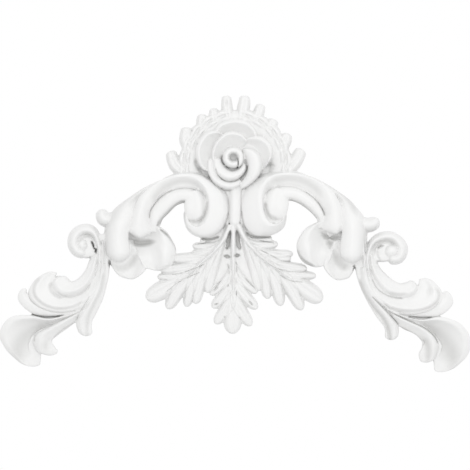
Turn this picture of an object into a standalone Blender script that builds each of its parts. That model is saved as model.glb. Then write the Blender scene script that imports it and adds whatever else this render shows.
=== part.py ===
# Cast ornamental applique: a rose in a wreath of laurel, between two scrolled
# acanthus arms, over three drooping leaves. One casting with a flat back.
# Metres, +Z up. The front faces -Y and the flat back lies in the plane Y = 0.
# The origin is on the back, behind the rose, midway across the width.
#
# The front is drawn on a layout grid of small squares. A place is (column, row):
# columns count to the right from the left end, rows count down from above the top.
# Widths are in squares too. Heights stand off the back and are in millimetres.
import math

import bmesh
import bpy
import numpy as np

MM = 0.001

# Driving dimensions
WIDTH = 0.300
GRID_COLUMNS = 470
SQUARE = WIDTH / GRID_COLUMNS
CENTRE_COLUMN = 235
CENTRE_ROW = 160

# Making of the solid
BACK_ALLOWANCE = 3.0 * MM
MELT_SIZE = 0.8 * MM
TRIANGLES_BEFORE_TRIM = 9300
SECTION_POINTS = 15
STATION_STEP = 2.5
END_STEPS = 6
LINE_STEPS = 16

# How far the two walls of a lobe spread on their way down, as shares of their height
EVEN_LEAN = (0.15, 0.15)
NO_LEAN = (0.0, 0.0)
FIRST_FLUSH = (0.0, 0.15)
SECOND_FLUSH = (0.15, 0.0)
OUTER_SLOPE = (0.12, 0.0)

# Cross-sections: shares of the crest at even steps from the first edge to the second.
# 0 is the rim, where the wall starts, and 1 is the crest.
ROLL = (0.0, 0.66, 0.92, 1.0, 0.92, 0.66, 0.0)
BAND = (0.40, 0.78, 0.95, 1.0, 0.97, 0.88, 0.55)
BULB = (0.0, 0.62, 0.90, 1.0, 0.98, 0.86, 0.62)
TONGUE = (0.62, 0.86, 1.0, 0.98, 0.86, 0.66, 0.35)
LEDGE = (0.55, 0.85, 1.0, 1.0, 0.95, 0.85, 0.60)
RING = (0.35, 0.86, 1.0, 0.97, 0.90, 0.78, 0.55)
VEINED = (0.0, 0.70, 0.92, 0.76, 0.92, 0.70, 0.0)
FLAT = (0.9, 1.0, 1.0, 1.0, 1.0, 1.0, 0.9)
COVE = (1.0, 0.97, 0.84, 0.68, 0.52, 0.38, 0.22)
VALLEY = (0.45, 0.70, 0.66, 0.54, 0.42, 0.34, 0.30)
CHEEK = (0.20, 0.70, 0.86, 0.93, 0.97, 1.0, 1.0)
SLOPE = (0.05, 0.36, 0.56, 0.72, 0.88, 1.0, 0.92)
EYE = (0.55, 0.80, 0.90, 0.94, 1.0, 0.90, 0.50)
FLUTE = (0.45, 0.62, 0.70, 0.86, 1.0, 0.80, 0.40)
KEEL = (0.50, 0.84, 1.0, 0.86, 0.62, 0.40, 0.22)
SHELL = (0.45, 0.88, 1.0, 0.66, 0.46, 0.55, 0.80)
SHELL_ROOT = (0.80, 1.0, 0.70, 0.34, 0.10, 0.03, 0.0)
FAN = (0.85, 1.0, 0.66, 0.34, 0.18, 0.10, 0.06)
DISH = (0.50, 0.62, 0.40, 0.30, 0.42, 0.75, 0.95)
PETAL = (0.70, 1.0, 0.72, 0.46, 0.28, 0.14, 0.0)


def smooth_at(values, shares):
    """Values of a smooth curve through evenly spaced values, at shares from 0 to 1."""
    knots = np.array(values, float).reshape(len(values), -1)
    if len(knots) == 1:
        return np.repeat(knots, len(shares), axis=0)
    knots = np.vstack([2 * knots[0] - knots[1], knots, 2 * knots[-1] - knots[-2]])
    place = np.asarray(shares) * (len(values) - 1)
    span = np.minimum(place.astype(int), len(values) - 2)
    part = (place - span)[:, None]
    a, b, c, d = (knots[span + i] for i in range(4))
    return 0.5 * (
        2 * b
        + (c - a) * part
        + (2 * a - 5 * b + 4 * c - d) * part**2
        + (3 * b - a - 3 * c + d) * part**3
    )


def between(first, second):
    """Two edges of a lobe, each a smooth line. Places in the same order face each other."""
    shares = np.linspace(0, 1, LINE_STEPS * (len(first) - 1) + 1)
    return smooth_at(first, shares), smooth_at(second, shares)


def ribbon(spine, half, mirror=1):
    """Two edges of a lobe from its middle line and its half widths.

    The first edge is on the right hand of a walker along the spine, or on the left
    hand if mirror is -1.
    """
    shares = np.linspace(0, 1, LINE_STEPS * (len(spine) - 1) + 1)
    path = smooth_at(spine, shares)
    heading = np.gradient(path, axis=0)
    heading /= np.linalg.norm(heading, axis=1)[:, None]
    # Rows count down, so this turns the heading to the walker's left.
    reach = np.stack([heading[:, 1], -heading[:, 0]], axis=1) * smooth_at(half, shares)
    return path - mirror * reach, path + mirror * reach


def end_fade(distance, length):
    """1 in the body of a lobe, falling to 0 at its end on a quarter of an ellipse."""
    if length <= 0:
        return np.ones_like(distance)
    inward = np.clip(1 - distance / length, 0, 1)
    return np.sqrt(1 - inward**2)


def stations_of(length, root, tip):
    """Distances from the root at which sections are cut, closer at round ends."""
    turn = np.linspace(0, math.pi / 2, END_STEPS + 1)
    near_zero = 0.02
    steps = max(2, math.ceil((length - root - tip) / STATION_STEP))
    parts = [
        root * (1 - np.cos(turn)),
        np.linspace(root, length - tip, steps + 1),
        length - tip * (1 - np.sin(turn)),
    ]
    places = np.unique(np.round(np.concatenate(parts), 4))
    return np.clip(places, near_zero if root else 0, length - near_zero)


def lobe(edges, crest, rim, across=ROLL, tip=None, root=0.0, lean=EVEN_LEAN, blunt=0.5):
    """Points and faces of one closed lobe between two edges.

    crest and rim run from root to tip. across is one section, or several to blend
    between. tip and root are the lengths of the round ends. lean is how far the two
    walls spread on their way down, as a share of their height. A low blunt keeps the
    crest up near the ends.
    """
    middle, reach = (edges[0] + edges[1]) / 2, (edges[1] - edges[0]) / 2
    run = np.concatenate([[0], np.cumsum(np.linalg.norm(np.diff(middle, axis=0), axis=1))])
    length = run[-1]
    tip = min(np.linalg.norm(reach[-1]) if tip is None else tip, 0.9 * length)
    places = stations_of(length, root, tip)
    shares = places / length
    fade = end_fade(places, root) * end_fade(length - places, tip)

    def at(values, where):
        return np.stack([np.interp(where, run, values[:, k]) for k in range(2)], axis=1)

    low = smooth_at(rim if isinstance(rim, tuple) else (rim,), shares)[:, 0]
    high = smooth_at(crest if isinstance(crest, tuple) else (crest,), shares)[:, 0]
    high = low + (high - low) * fade**blunt
    foot = [at(middle, places) + sign * at(reach, places) * fade[:, None] for sign in (-1, 1)]
    # The tops of the walls stand in from their feet, at the round ends too.
    spread = low * MM / SQUARE
    ends = [min(lean[0] * spread[0], root / 2), length - min(lean[0] * spread[-1], tip / 2)]
    inner = np.interp(places, [0, length], ends)
    half = at(reach, inner)
    wide = np.linalg.norm(half, axis=1)[:, None]
    half /= np.maximum(wide, 1e-6)
    narrowest = 0.4 * wide
    tops = [
        at(middle, inner)
        + sign * half * fade[:, None] * np.maximum(wide - share * spread[:, None], narrowest)
        for sign, share in zip((-1, 1), lean)
    ]
    side = (1 - np.cos(np.linspace(0, math.pi, SECTION_POINTS))) / 2
    sections = across if isinstance(across[0], tuple) else (across,)
    shapes = np.stack([smooth_at(section, side)[:, 0] for section in sections])
    shape = smooth_at(shapes, shares).reshape(len(shares), -1)
    over = tops[0][:, None, :] + (tops[1] - tops[0])[:, None, :] * side[None, :, None]
    heights = low[:, None] + (high - low)[:, None] * shape
    return ring_mesh(over, heights * MM, foot)


def ring_mesh(over, heights, foot):
    """Joins sections into a closed body whose walls reach behind the back plane."""
    rows, columns = heights.shape
    ring = columns + 4
    places = np.empty((rows, ring, 2))
    depth = np.empty((rows, ring))
    places[:, 2:-2], depth[:, 2:-2] = over, -heights
    for end, edge in ((0, foot[0]), (1, foot[0]), (-2, foot[1]), (-1, foot[1])):
        places[:, end] = edge
    depth[:, [0, -1]], depth[:, [1, -2]] = BACK_ALLOWANCE, 0
    points = np.stack(
        [(places[..., 0] - CENTRE_COLUMN) * SQUARE, depth, (CENTRE_ROW - places[..., 1]) * SQUARE], axis=-1
    )
    index = np.arange(rows * ring).reshape(rows, ring)
    after = np.roll(index, -1, axis=1)
    walls = np.stack([index[:-1], after[:-1], after[1:], index[1:]], axis=2).reshape(-1, 4)
    return points.reshape(-1, 3), [*map(tuple, walls), tuple(index[0][::-1]), tuple(index[-1])]


# Lobes of the scrolled arms and tails, each with its two edges on the left side and on
# the right side, from root to tip. The first edge is the one named in the comment.
BANDS = {
    # over the scroll and down the arm to a hooked tongue: outer edge
    "cove": dict(
        left=(
            [(202, 226), (208, 217), (210, 206), (208.5, 195), (203, 184), (194, 176), (182, 174), (169, 177),
             (158, 182), (147, 190), (139, 198), (134, 209), (130, 220), (128, 230), (134, 238)],
            [(195, 225), (200, 219), (203, 208), (204, 198), (200, 191), (191, 189), (181, 189), (170, 192),
             (161, 198), (154, 205), (150, 212), (149, 219), (150, 226), (151, 232), (147, 238)]),
        right=(
            [(262, 210), (261, 197), (264, 185), (271, 176), (284, 173), (298, 174), (311, 178),
             (321, 183), (331, 190), (337, 199), (342, 209), (344, 218), (344, 226), (341, 234)],
            [(266, 210), (266, 197), (269, 190), (276, 187), (284, 186), (295, 187), (305, 191),
             (314, 198), (320, 206), (324, 214), (323, 220), (321, 225), (323, 230), (329, 234)]),
        crest=(13, 14.5, 15, 15, 14.5, 15, 15.5, 15), rim=(7, 7, 7, 7, 7, 7, 6.5, 6.5), tip=8,
        lean=NO_LEAN, blunt=0.35, across=(COVE, COVE, COVE, COVE, TONGUE, TONGUE)),
    # along the top of the arm to the bulb: outer edge
    "bulb": dict(
        left=(
            [(172, 176), (158, 181), (143, 188), (128, 198), (115, 208), (107, 219), (104, 231), (103, 243),
             (104, 253), (109, 263)],
            [(168, 182), (159, 185), (148, 192), (141, 201), (136, 211), (132, 221), (129, 231), (129, 242),
             (130, 252), (127, 263)]),
        right=(
            [(300, 173), (315, 178), (330, 186), (344, 196), (356, 207), (364, 217), (367, 229), (367, 241),
             (366, 253), (361, 264)],
            [(307, 180), (316, 184), (327, 190.5), (334.5, 199.5), (339.5, 210), (341, 220), (341.5, 232),
             (340, 243), (340, 254), (344, 264)]),
        crest=(12, 13, 14, 15.5, 17.5, 18, 17.5), rim=(6, 6, 6, 5, 5, 5, 5), tip=9, lean=SECOND_FLUSH,
        across=(VALLEY, VALLEY, VALLEY, BULB, BULB, BULB)),
    # the lower band of the arm, into the eye: upper edge
    "inner_band": dict(
        left=(
            [(150, 232), (148, 222), (149, 212), (156, 201), (167, 191.5), (180, 187.5), (191, 188),
             (200, 192)],
            [(158, 232), (160, 226), (163, 219), (169, 213), (176, 206), (184, 203), (188, 205), (190, 208)]),
        right=(
            [(323, 228), (325.5, 217), (321, 206), (314, 197), (303, 189), (290, 185), (278, 186.5),
             (268, 192)],
            [(316, 228), (317, 221), (312, 214), (305, 208), (297, 203), (289, 201), (284, 204), (280, 208)]),
        crest=(9, 11.5, 12, 12.5, 12.5, 13, 13.5), rim=6, tip=4, across=BAND, lean=FIRST_FLUSH),
    # round the outside of the scroll: outer edge
    "cheek": dict(
        left=(
            [(163, 178), (176, 173), (190, 171), (202, 174), (212, 180), (221, 187), (227, 196), (229, 210),
             (226, 223), (219, 233), (208, 238), (197, 237), (188, 231), (184, 222), (183, 212)],
            [(165, 181), (177, 178), (189, 177), (197, 179), (202, 184), (206, 191), (209, 200), (209, 211),
             (207, 218), (203, 224), (198, 226.5), (194, 226), (190, 223), (187, 218), (186, 211)]),
        right=(
            [(305, 174), (290, 170), (276, 171), (264, 174), (254, 180), (245.5, 187), (241, 197),
             (240.5, 210), (242, 222), (247, 231), (255, 236), (265, 236), (275, 234), (284, 227),
             (287, 215)],
            [(300, 178), (290, 176), (278, 176), (270, 178), (265, 184), (262, 192), (262, 201), (263, 210),
             (266, 218), (270, 222.5), (274, 224), (279, 223), (282, 220), (284, 215), (285, 210)]),
        crest=(12, 15, 15, 15, 15, 15, 14.5, 14, 13, 12, 11), rim=(9, 9, 9, 9, 9, 9, 9, 8, 7, 6, 6), tip=3,
        across=dict(left=CHEEK, right=SLOPE), lean=OUTER_SLOPE),
    # the shell at the end of the inner band: edge beside the opening
    "shell": dict(
        left=(
            [(157, 225), (166, 231), (172, 240), (176, 250), (174, 262), (166, 271)],
            [(147, 226), (140, 234), (132, 247), (138, 257), (143, 266), (150, 271)]),
        right=(
            [(317, 222), (307, 227), (300, 235), (296, 246), (300, 259), (310, 268)],
            [(328, 224), (334, 231), (337, 243), (333, 252), (329, 262), (324, 267)]),
        crest=(10.5, 11, 11.5, 11, 9), rim=3.5, tip=5,
        across=(SHELL_ROOT, SHELL_ROOT, SHELL, SHELL)),
    # the lobe under the bulb: edge beside the tail
    "under_lobe": dict(
        left=(
            [(108, 240), (108, 252), (110, 263), (116, 273), (124, 280)],
            [(134, 240), (137, 249), (142, 258), (147, 266), (139, 279)]),
        right=(
            [(357, 240), (357, 252), (356, 263), (351, 275), (345, 281)],
            [(333, 240), (329, 249), (325, 258), (323, 266), (331, 280)]),
        crest=(7, 8, 9, 9, 8), rim=3.5, across=DISH, tip=6),
    # upper flute of the tail, ending in an upturned tongue: upper edge
    "upper_flute": dict(
        left=(
            [(94, 250), (89, 260), (86, 268), (82, 274), (77, 279), (72, 281), (69, 279), (67, 277),
             (66, 275)],
            [(100, 250), (99, 261), (97, 272), (92, 283), (82, 293), (69, 297), (57, 296), (51, 286),
             (52, 276)]),
        right=(
            [(375, 254), (378, 264), (382, 270), (387, 275), (393, 280), (400, 283), (405, 282), (408, 281),
             (410, 279)],
            [(367, 254), (368, 265), (371, 276), (378, 288), (388, 296), (400, 299), (412, 297), (418, 290),
             (416, 282)]),
        crest=(11, 11.5, 11.5, 11.5, 11, 9.5), rim=5, across=FLUTE, tip=4),
    # lower flute of the tail, wrapped round the upper one: upper edge
    "lower_flute": dict(
        left=(
            [(97, 262), (95, 273), (88, 283), (78, 291), (66, 294), (57, 291), (54, 284), (55, 277),
             (58, 272)],
            [(106, 264), (103, 284), (93, 302), (76, 312), (58, 314), (40, 310), (28, 297), (34, 281),
             (48, 271)]),
        right=(
            [(368, 266), (373, 276), (381, 286), (391, 293), (402, 296), (411, 295), (416, 290), (418, 284),
             (419, 278)],
            [(360, 268), (364, 288), (375, 303), (392, 312), (410, 316), (428, 314), (442, 305), (441, 291),
             (430, 278)]),
        crest=(10, 10.5, 10.5, 10.5, 10.5, 10, 8), rim=4, across=FLUTE, tip=3, lean=NO_LEAN),
    # the leaf behind the lower flute: upper edge
    "back_leaf": dict(
        left=(
            [(84, 304), (62, 308), (44, 306), (33, 300), (27, 294), (27, 287)],
            [(84, 312), (62, 315), (46, 315.5), (31, 312.5), (19, 301), (19, 290)]),
        right=(
            [(388, 305), (408, 310), (426, 308), (437, 302), (442, 296), (443, 290)],
            [(388, 313), (408, 315.5), (424, 316.5), (440, 315), (452, 304), (450, 292)]),
        crest=8, rim=5, tip=4, across=LEDGE, lean=NO_LEAN),
    # the fan at the end of the tail: upper and outer edge
    "end_fan": dict(
        left=(
            [(85, 309), (66, 315), (48, 318.3), (30, 315), (10, 317.5), (0, 333), (7, 350), (24, 366)],
            [(85, 313), (68, 320), (55, 326), (43, 332), (36, 339), (37, 346), (41, 354), (40, 367)]),
        right=(
            [(385, 309), (404, 316), (421, 319.3), (440, 316.8), (459, 323), (470, 339), (466, 356),
             (450, 371)],
            [(385, 313), (402, 320), (416, 326), (429, 333), (436, 343), (434, 351), (433, 361), (434, 373)]),
        crest=(8, 9.5, 10.5, 11, 11, 10, 8, 6), rim=(3, 3, 3, 3, 2.5, 2.5), tip=4, lean=FIRST_FLUSH,
        across=(LEDGE, FAN, FAN, FAN)),
    # the heel under the fan: upper edge
    "heel": dict(
        left=(
            [(85, 308), (72, 314), (60, 320), (48, 326), (37, 332), (33.5, 340), (37, 350), (43, 355)],
            [(88, 312), (78, 320), (68, 328), (58, 335), (52, 341), (55, 347), (58, 351), (55, 356)]),
        right=(
            [(385, 305), (398, 314), (410, 319), (421, 324), (432, 332), (437.5, 343), (436, 353),
             (432, 362)],
            [(382, 311), (392, 321), (403, 329), (414, 334), (421, 341), (421, 348), (418, 354), (420, 363)]),
        crest=(9, 9.5, 9.5, 9, 8, 6), rim=3, across=KEEL, tip=3, lean=FIRST_FLUSH),
    # the spur on the inside of the tail: edge beside the heel
    "spur": dict(
        left=(
            [(103, 266), (98, 284), (90, 299), (81, 312), (76, 323), (80, 336)],
            [(108, 266), (107, 284), (103, 299), (97, 312), (92, 323), (93, 336)]),
        right=(
            [(364, 268), (369, 284), (378, 300), (390, 314), (398, 327), (397, 340)],
            [(357, 268), (359, 284), (366, 300), (376, 317), (384, 328), (384, 340)]),
        crest=(9.5, 10, 10, 9.5, 8, 6.5), rim=3, across=KEEL, tip=5, lean=FIRST_FLUSH),
}
RIBBONS = {
    "eye": dict(
        left=[(192, 191), (194, 200), (194.5, 211), (193, 222)],
        right=[(281, 189), (277, 199), (276, 209), (276, 221)],
        half=dict(left=(6, 9.8, 10, 7), right=(7, 11.5, 11.5, 8.5)), crest=(13, 14, 14, 12), rim=8,
        across=EYE, tip=7, lean=NO_LEAN),
    "knob": dict(
        left=[(114, 219), (104, 219), (101, 209)],
        right=[(358, 223), (369, 225), (379, 220)],
        half=(7, 7.5, 6), crest=(10, 10.5, 10.5), rim=4),
    "arm_web": dict(
        left=[(112, 228), (130, 214), (150, 203), (172, 190)],
        right=[(360, 226), (342, 212), (324, 199), (300, 184)],
        half=(8, 14, 13, 7), crest=(5, 5, 5, 5), rim=3, across=FLAT),
    "scroll_floor": dict(
        left=[(208, 182), (206, 205), (204, 230)], right=[(261, 182), (263, 205), (265, 229)],
        half=(14, 19, 15), crest=6.5, rim=5, across=FLAT, root=8, tip=10),
    "eye_floor": dict(
        left=[(189, 218), (195, 222), (202, 222)], right=[(266, 206), (270, 218), (284, 220)],
        half=(5.5, 5.5, 5), crest=10.5, rim=9, across=FLAT, root=4),
    "hollow_floor": dict(
        left=[(130, 224), (138, 238), (146, 252)],
        right=[(342, 224), (335, 238), (326, 252)],
        half=(10, 12, 10), crest=2.5, rim=2, across=FLAT),
    "tail_web": dict(
        left=[(104, 234), (104, 262), (97, 285), (80, 304)],
        right=[(361, 236), (360, 262), (369, 285), (386, 304)],
        half=(6, 6, 9, 10), crest=(7.5, 7, 5, 5), rim=2.5, across=FLAT),
    "tail_rib": dict(
        left=[(103, 240), (103, 262), (99, 281), (91, 297), (80, 309)],
        right=[(363, 244), (364, 266), (369, 284), (378, 299), (390, 311)],
        half=(2.6, 2.8, 2.8, 2.6, 1.8), crest=(11, 11, 10.5, 10.5, 9.5), rim=6),
    "curl_floor": dict(
        left=[(80, 234), (84, 244), (94, 256)], right=[(395, 244), (384, 250), (367, 252)],
        half=(11, 12, 9), crest=9, rim=7, across=FLAT, root=8),
    "fan_floor": dict(
        left=[(84, 308), (62, 316), (44, 317), (31, 314.5)],
        right=[(386, 308), (408, 317), (426, 318.5), (440, 316)],
        half=(3, 4, 4, 3), crest=3.5, rim=2.5, across=FLAT, root=3),
    "curl": dict(
        left=[(95, 280), (99, 266), (100, 252), (97, 239), (91, 231), (82, 230.5), (75.5, 236), (74, 244),
              (78, 251), (87, 254)],
        right=[(372, 284), (368, 270), (367, 256), (372, 243), (381, 238), (391, 238), (399, 244), (401, 251),
               (397, 258), (387, 259)],
        half=(2.5, 3, 3.6, 4.4, 6, 6.5, 6.8, 6.8, 6.4, 5.4), crest=(8, 10.5, 11.5, 12.5, 12.5, 12.5, 12),
        rim=5, tip=5),
    "curl_eye": dict(
        left=[(76, 244), (89, 246)], right=[(383, 252), (399, 250)],
        half=(8, 8), crest=12, rim=5, tip=7, root=7),
}


def for_side(value, side):
    """A setting may be given for both sides at once, or for each side by name."""
    return value[side] if isinstance(value, dict) else value


def scrolls():
    for side, mirror in (("left", 1), ("right", -1)):
        for design in BANDS.values():
            settings = {k: for_side(v, side) for k, v in design.items() if k not in ("left", "right")}
            yield lobe(between(*design[side]), **settings)
        for design in RIBBONS.values():
            settings = {k: for_side(v, side) for k, v in design.items() if k not in ("left", "right")}
            half = settings.pop("half")
            yield lobe(ribbon(design[side], half, mirror), **settings)


# The drooping leaves. Each leaflet is (share of the rib where it starts, place of its
# tip, half width), for the two sides of the rib.
LEAVES = {
    "left": dict(
        rib=[(230, 225), (223, 240), (213, 252), (201, 263), (188, 274), (174, 283)], end=(146, 299),
        leaflets=[
            (0.20, (192, 246), 5), (0.28, (191, 253), 4.5), (0.34, (171, 259), 6.6), (0.52, (160, 270), 6),
            (0.70, (157, 277), 4.8),
            (0.20, (207, 293), 7.5), (0.36, (195, 304), 6.8), (0.52, (186, 307), 6), (0.66, (167, 309), 7.5)],
        rise=8.5),
    "right": dict(
        rib=[(238, 225), (245, 239), (256, 252), (269, 263), (283, 273), (297, 283)], end=(322, 301),
        leaflets=[
            (0.20, (278, 244), 5.6), (0.28, (293, 254), 5), (0.34, (291, 259), 5.5), (0.50, (307, 269), 6),
            (0.68, (316, 276), 5),
            (0.16, (259, 291), 7.5), (0.30, (268, 299), 6.6), (0.46, (281, 306), 7), (0.62, (302, 310), 7.5)],
        rise=8.5),
    "middle": dict(
        rib=[(233, 226), (233, 250), (233, 270), (233, 290), (233, 305)], end=(232, 334),
        leaflets=[
            (0.42, (210, 295), 5.5), (0.56, (212, 308), 6.4), (0.72, (215, 324), 6.8),
            (0.40, (257, 293), 5.5), (0.52, (257, 309), 6.4), (0.72, (251, 326), 6.8)],
        rise=7.5),
}
END_LEAFLET_HALF = (4, 8, 9.5, 7)
RIB_HALF = 2.3
LEAF_RIM = 2.5
FLOOR_RISE = 3.5
FLOORS = [
    ([(184, 168), (235, 166), (286, 166)], (12, 20, 12)),
    ([(235, 176), (234, 220), (234, 245)], (16, 14, 12)),
    ([(234, 232), (234, 262), (234, 292)], (8, 25, 19)),
    ([(228, 230), (214, 238), (200, 242)], (6, 7, 5)),
    ([(241, 230), (256, 238), (272, 240)], (6, 7, 5)),
]


def leaflet(root, heading, tip, half, rise):
    """A rounded leaflet that leaves the rib forwards and turns out to its tip."""
    root, tip = np.array(root, float), np.array(tip, float)
    bend = 0.36 * np.linalg.norm(tip - root)
    spine = [root, 0.25 * root + 0.5 * (root + heading * bend) + 0.25 * tip, tip]
    return lobe(
        ribbon(spine, (half * 0.5, half, half * 0.8)), crest=(rise, rise, rise - 2.5), rim=LEAF_RIM,
        across=VEINED, tip=half * 1.3)


def leaf(rib, end, leaflets, rise):
    for share, tip, half in leaflets:
        root, ahead = smooth_at(rib, [share, share + 0.02])
        heading = (ahead - root) / np.linalg.norm(ahead - root)
        yield leaflet(root, heading, tip, half, rise - 1)
    base, before = np.array(rib[-1], float), np.array(rib[-2], float)
    spine = [before, base, 0.5 * (base + np.array(end)), np.array(end, float)]
    yield lobe(ribbon(spine, END_LEAFLET_HALF), crest=(rise, rise, rise - 1, rise - 3), rim=LEAF_RIM,
               across=VEINED, tip=8)
    yield lobe(ribbon(rib, (4.6, 3.4, RIB_HALF, 1.6)), crest=(9, rise + 1.5, rise + 1, rise), rim=4)


def stem():
    """The stem between the scrolls, and the floor of the pits where it parts."""
    yield lobe(ribbon([(235, 186), (235, 205), (234, 226)], (6.5, 6, 5)), crest=(9.5, 10.5, 10), rim=6,
               across=LEDGE, lean=NO_LEAN)
    for spine, half in FLOORS:
        yield lobe(ribbon(spine, half), crest=FLOOR_RISE, rim=FLOOR_RISE - 1, across=FLAT, root=6)


# The rose, from the back petals to the heart: the lip of each petal, then its inner edge.
PETALS = [
    dict(lip=[(213, 137), (216, 128), (224, 122), (235, 120), (246, 122), (254, 129), (258, 138)],
         inner=[(224, 142), (226, 138), (230, 136), (235, 135), (241, 136), (246, 139), (248, 143)],
         crest=(12.5, 14, 14.5, 14, 13), rim=8),
    dict(lip=[(208, 173), (201, 168), (197, 160), (196, 150), (199, 141), (206, 133), (215, 131), (225, 135)],
         inner=[(213, 170), (212.5, 165), (212.5, 158), (213.5, 151), (216, 147), (220, 144), (224, 142),
                (228, 140)],
         crest=(13, 15, 16, 16, 16, 15), rim=9),
    dict(lip=[(244, 139), (251, 137), (260, 137), (268, 142), (272, 151), (270, 160), (264, 169)],
         inner=[(244, 150), (248, 150), (253, 153), (257, 157), (259, 162), (260, 167), (259, 172)],
         crest=(14, 15.5, 16, 15.5, 14, 12), rim=9),
    dict(lip=[(217, 167), (212, 160), (212, 151), (216, 142), (223, 135), (231, 132), (240, 134), (248, 140)],
         inner=[(222, 165), (222, 160), (223, 155), (226, 150), (229, 148), (233, 147), (239, 148),
                (243, 150)],
         crest=(16, 17.5, 18.5, 19, 18.5, 17.5), rim=12),
    dict(lip=[(208, 158), (207, 167), (209, 176), (214, 183), (222, 188), (231, 189), (240, 186)],
         inner=[(213, 159), (214, 167), (217, 174), (222, 179), (228.5, 181.2), (235, 181), (241, 177.5)],
         crest=(15, 16, 16.5, 17, 16.5, 15), rim=12, across=RING),
    dict(lip=[(243, 148), (252, 149), (259, 155), (261.5, 164), (259.5, 174), (253, 182), (242, 190)],
         inner=[(241.5, 152), (244.5, 156.5), (246.5, 162), (247.5, 168), (246.5, 174), (243.5, 179),
                (239, 185)],
         crest=(18, 19.5, 19.5, 19, 18, 16, 14), rim=12, across=RING),
    dict(lip=[(213, 158), (213, 168), (217.5, 176), (226, 180.5), (235, 180), (242.5, 175), (247, 167)],
         inner=[(220.5, 158), (222, 163), (226, 168), (231.5, 170.8), (237, 169.5), (240.8, 166),
                (242.5, 161.5)],
         crest=(18, 19, 20, 20, 19.5, 18), rim=13, across=RING),
]
HEART = dict(place=(233, 158), first_radius=6.6, last_radius=7.8, half=3.9, rise=22, rim=16)


def rose():
    yield lobe(ribbon([(209, 158), (261, 158)], (29, 29)), crest=12.5, rim=8, tip=20, root=20)
    for petal in PETALS:
        shape = {k: v for k, v in petal.items() if k not in ("lip", "inner")}
        settings = {"across": PETAL, "lean": NO_LEAN, **shape}
        yield lobe(between(petal["lip"], petal["inner"]), tip=4, root=4, **settings)
    turns = np.radians(np.linspace(50, 430, 14))
    radii = np.linspace(HEART["first_radius"], HEART["last_radius"], 14)
    column, row = HEART["place"]
    ring = [(column + r * math.cos(a), row + r * math.sin(a)) for a, r in zip(turns, radii)]
    yield lobe(ribbon(ring, (HEART["half"],)), crest=HEART["rise"], rim=HEART["rim"], tip=2, root=2,
               lean=NO_LEAN)


# The laurel: the outer leaves stand out round the rose, the inner ones lie along it.
OUTER_LAUREL = [
    ((190, 176), (176, 166), (170, 151), 7), ((193, 154), (186, 141), (187, 127), 7),
    ((208, 138), (202, 126), (202, 114), 6), ((219, 130), (214, 118), (214, 108), 5.5),
    ((229, 124), (227, 110), (226, 95.5), 6), ((240, 124), (243, 110), (245, 95.5), 6.8),
    ((252, 128), (258, 114), (261, 104), 6), ((262, 136), (270, 127), (274, 119), 6.4),
    ((277, 154), (284, 143), (287, 133), 6.8), ((280, 176), (293, 164), (302, 149), 7.5),
]
LAUREL_CENTRE = (235, 166)
LAUREL_BAND = dict(radius=45, half=11, reach=112, crest=8, rim=5)
INNER_LAUREL = [
    dict(count=6, first=4, step=17, sweep=24, start=54, end=51, half=3.8, rise=9.5),
    dict(count=6, first=0, step=17, sweep=24, start=48, end=46, half=3.8, rise=10),
]


def about_laurel(angle, radius):
    """Place at an angle in degrees from straight up, towards the right."""
    turn = math.radians(angle)
    return LAUREL_CENTRE[0] + radius * math.sin(turn), LAUREL_CENTRE[1] - radius * math.cos(turn)


def laurel():
    reach = LAUREL_BAND["reach"]
    arc = [about_laurel(angle, LAUREL_BAND["radius"]) for angle in np.linspace(-reach, reach, 10)]
    yield lobe(ribbon(arc, (LAUREL_BAND["half"],)), crest=LAUREL_BAND["crest"], rim=LAUREL_BAND["rim"])
    for root, middle, tip, half in OUTER_LAUREL:
        yield lobe(
            ribbon([root, middle, tip], (half * 0.7, half, half * 0.8)), crest=(8.5, 8.5, 7), rim=3.5,
            across=VEINED, tip=half * 0.45)
    for row in INNER_LAUREL:
        for side in (-1, 1):
            for number in range(row["count"]):
                angle = row["first"] + row["step"] * number
                spine = [
                    about_laurel(side * (angle + row["sweep"] * share), radius)
                    for share, radius in ((0, row["start"]), (0.5, row["start"]), (1, row["end"]))
                ]
                yield lobe(ribbon(spine, (2, row["half"], 2.4)), crest=(8, row["rise"], 8), rim=6,
                           across=VEINED, tip=4)


def all_lobes():
    yield from scrolls()
    for design in LEAVES.values():
        yield from leaf(**design)
    yield from stem()
    yield from laurel()
    yield from rose()


def joined_mesh(name, pieces):
    points, faces, start = [], [], 0
    for piece_points, piece_faces in pieces:
        points.extend(map(tuple, piece_points))
        faces.extend(tuple(int(i) + start for i in face) for face in piece_faces)
        start += len(piece_points)
    mesh = bpy.data.meshes.new(name)
    mesh.from_pydata(points, [], faces)
    return mesh


def without_bubbles(mesh):
    """Keeps the largest shell of a mesh, and drops the specks that melting leaves inside."""
    shape = bmesh.new()
    shape.from_mesh(mesh)
    waiting, shells = set(shape.verts), []
    while waiting:
        border = [waiting.pop()]
        shell = set(border)
        while border:
            point = border.pop()
            found = {edge.other_vert(point) for edge in point.link_edges} - shell
            shell |= found
            border.extend(found)
        waiting -= shell
        shells.append(shell)
    shells.sort(key=len)
    bmesh.ops.delete(shape, geom=[point for shell in shells[:-1] for point in shell], context="VERTS")
    triangles = sum(len(face.verts) - 2 for face in shape.faces)
    shape.to_mesh(mesh)
    shape.free()
    return triangles


def cast_resin():
    material = bpy.data.materials.new("cast_resin")
    material.use_nodes = True
    shader = material.node_tree.nodes["Principled BSDF"]
    shader.inputs["Base Color"].default_value = (0.87, 0.87, 0.86, 1)
    shader.inputs["Roughness"].default_value = 0.5
    shader.inputs["Metallic"].default_value = 0.0
    return material


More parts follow.
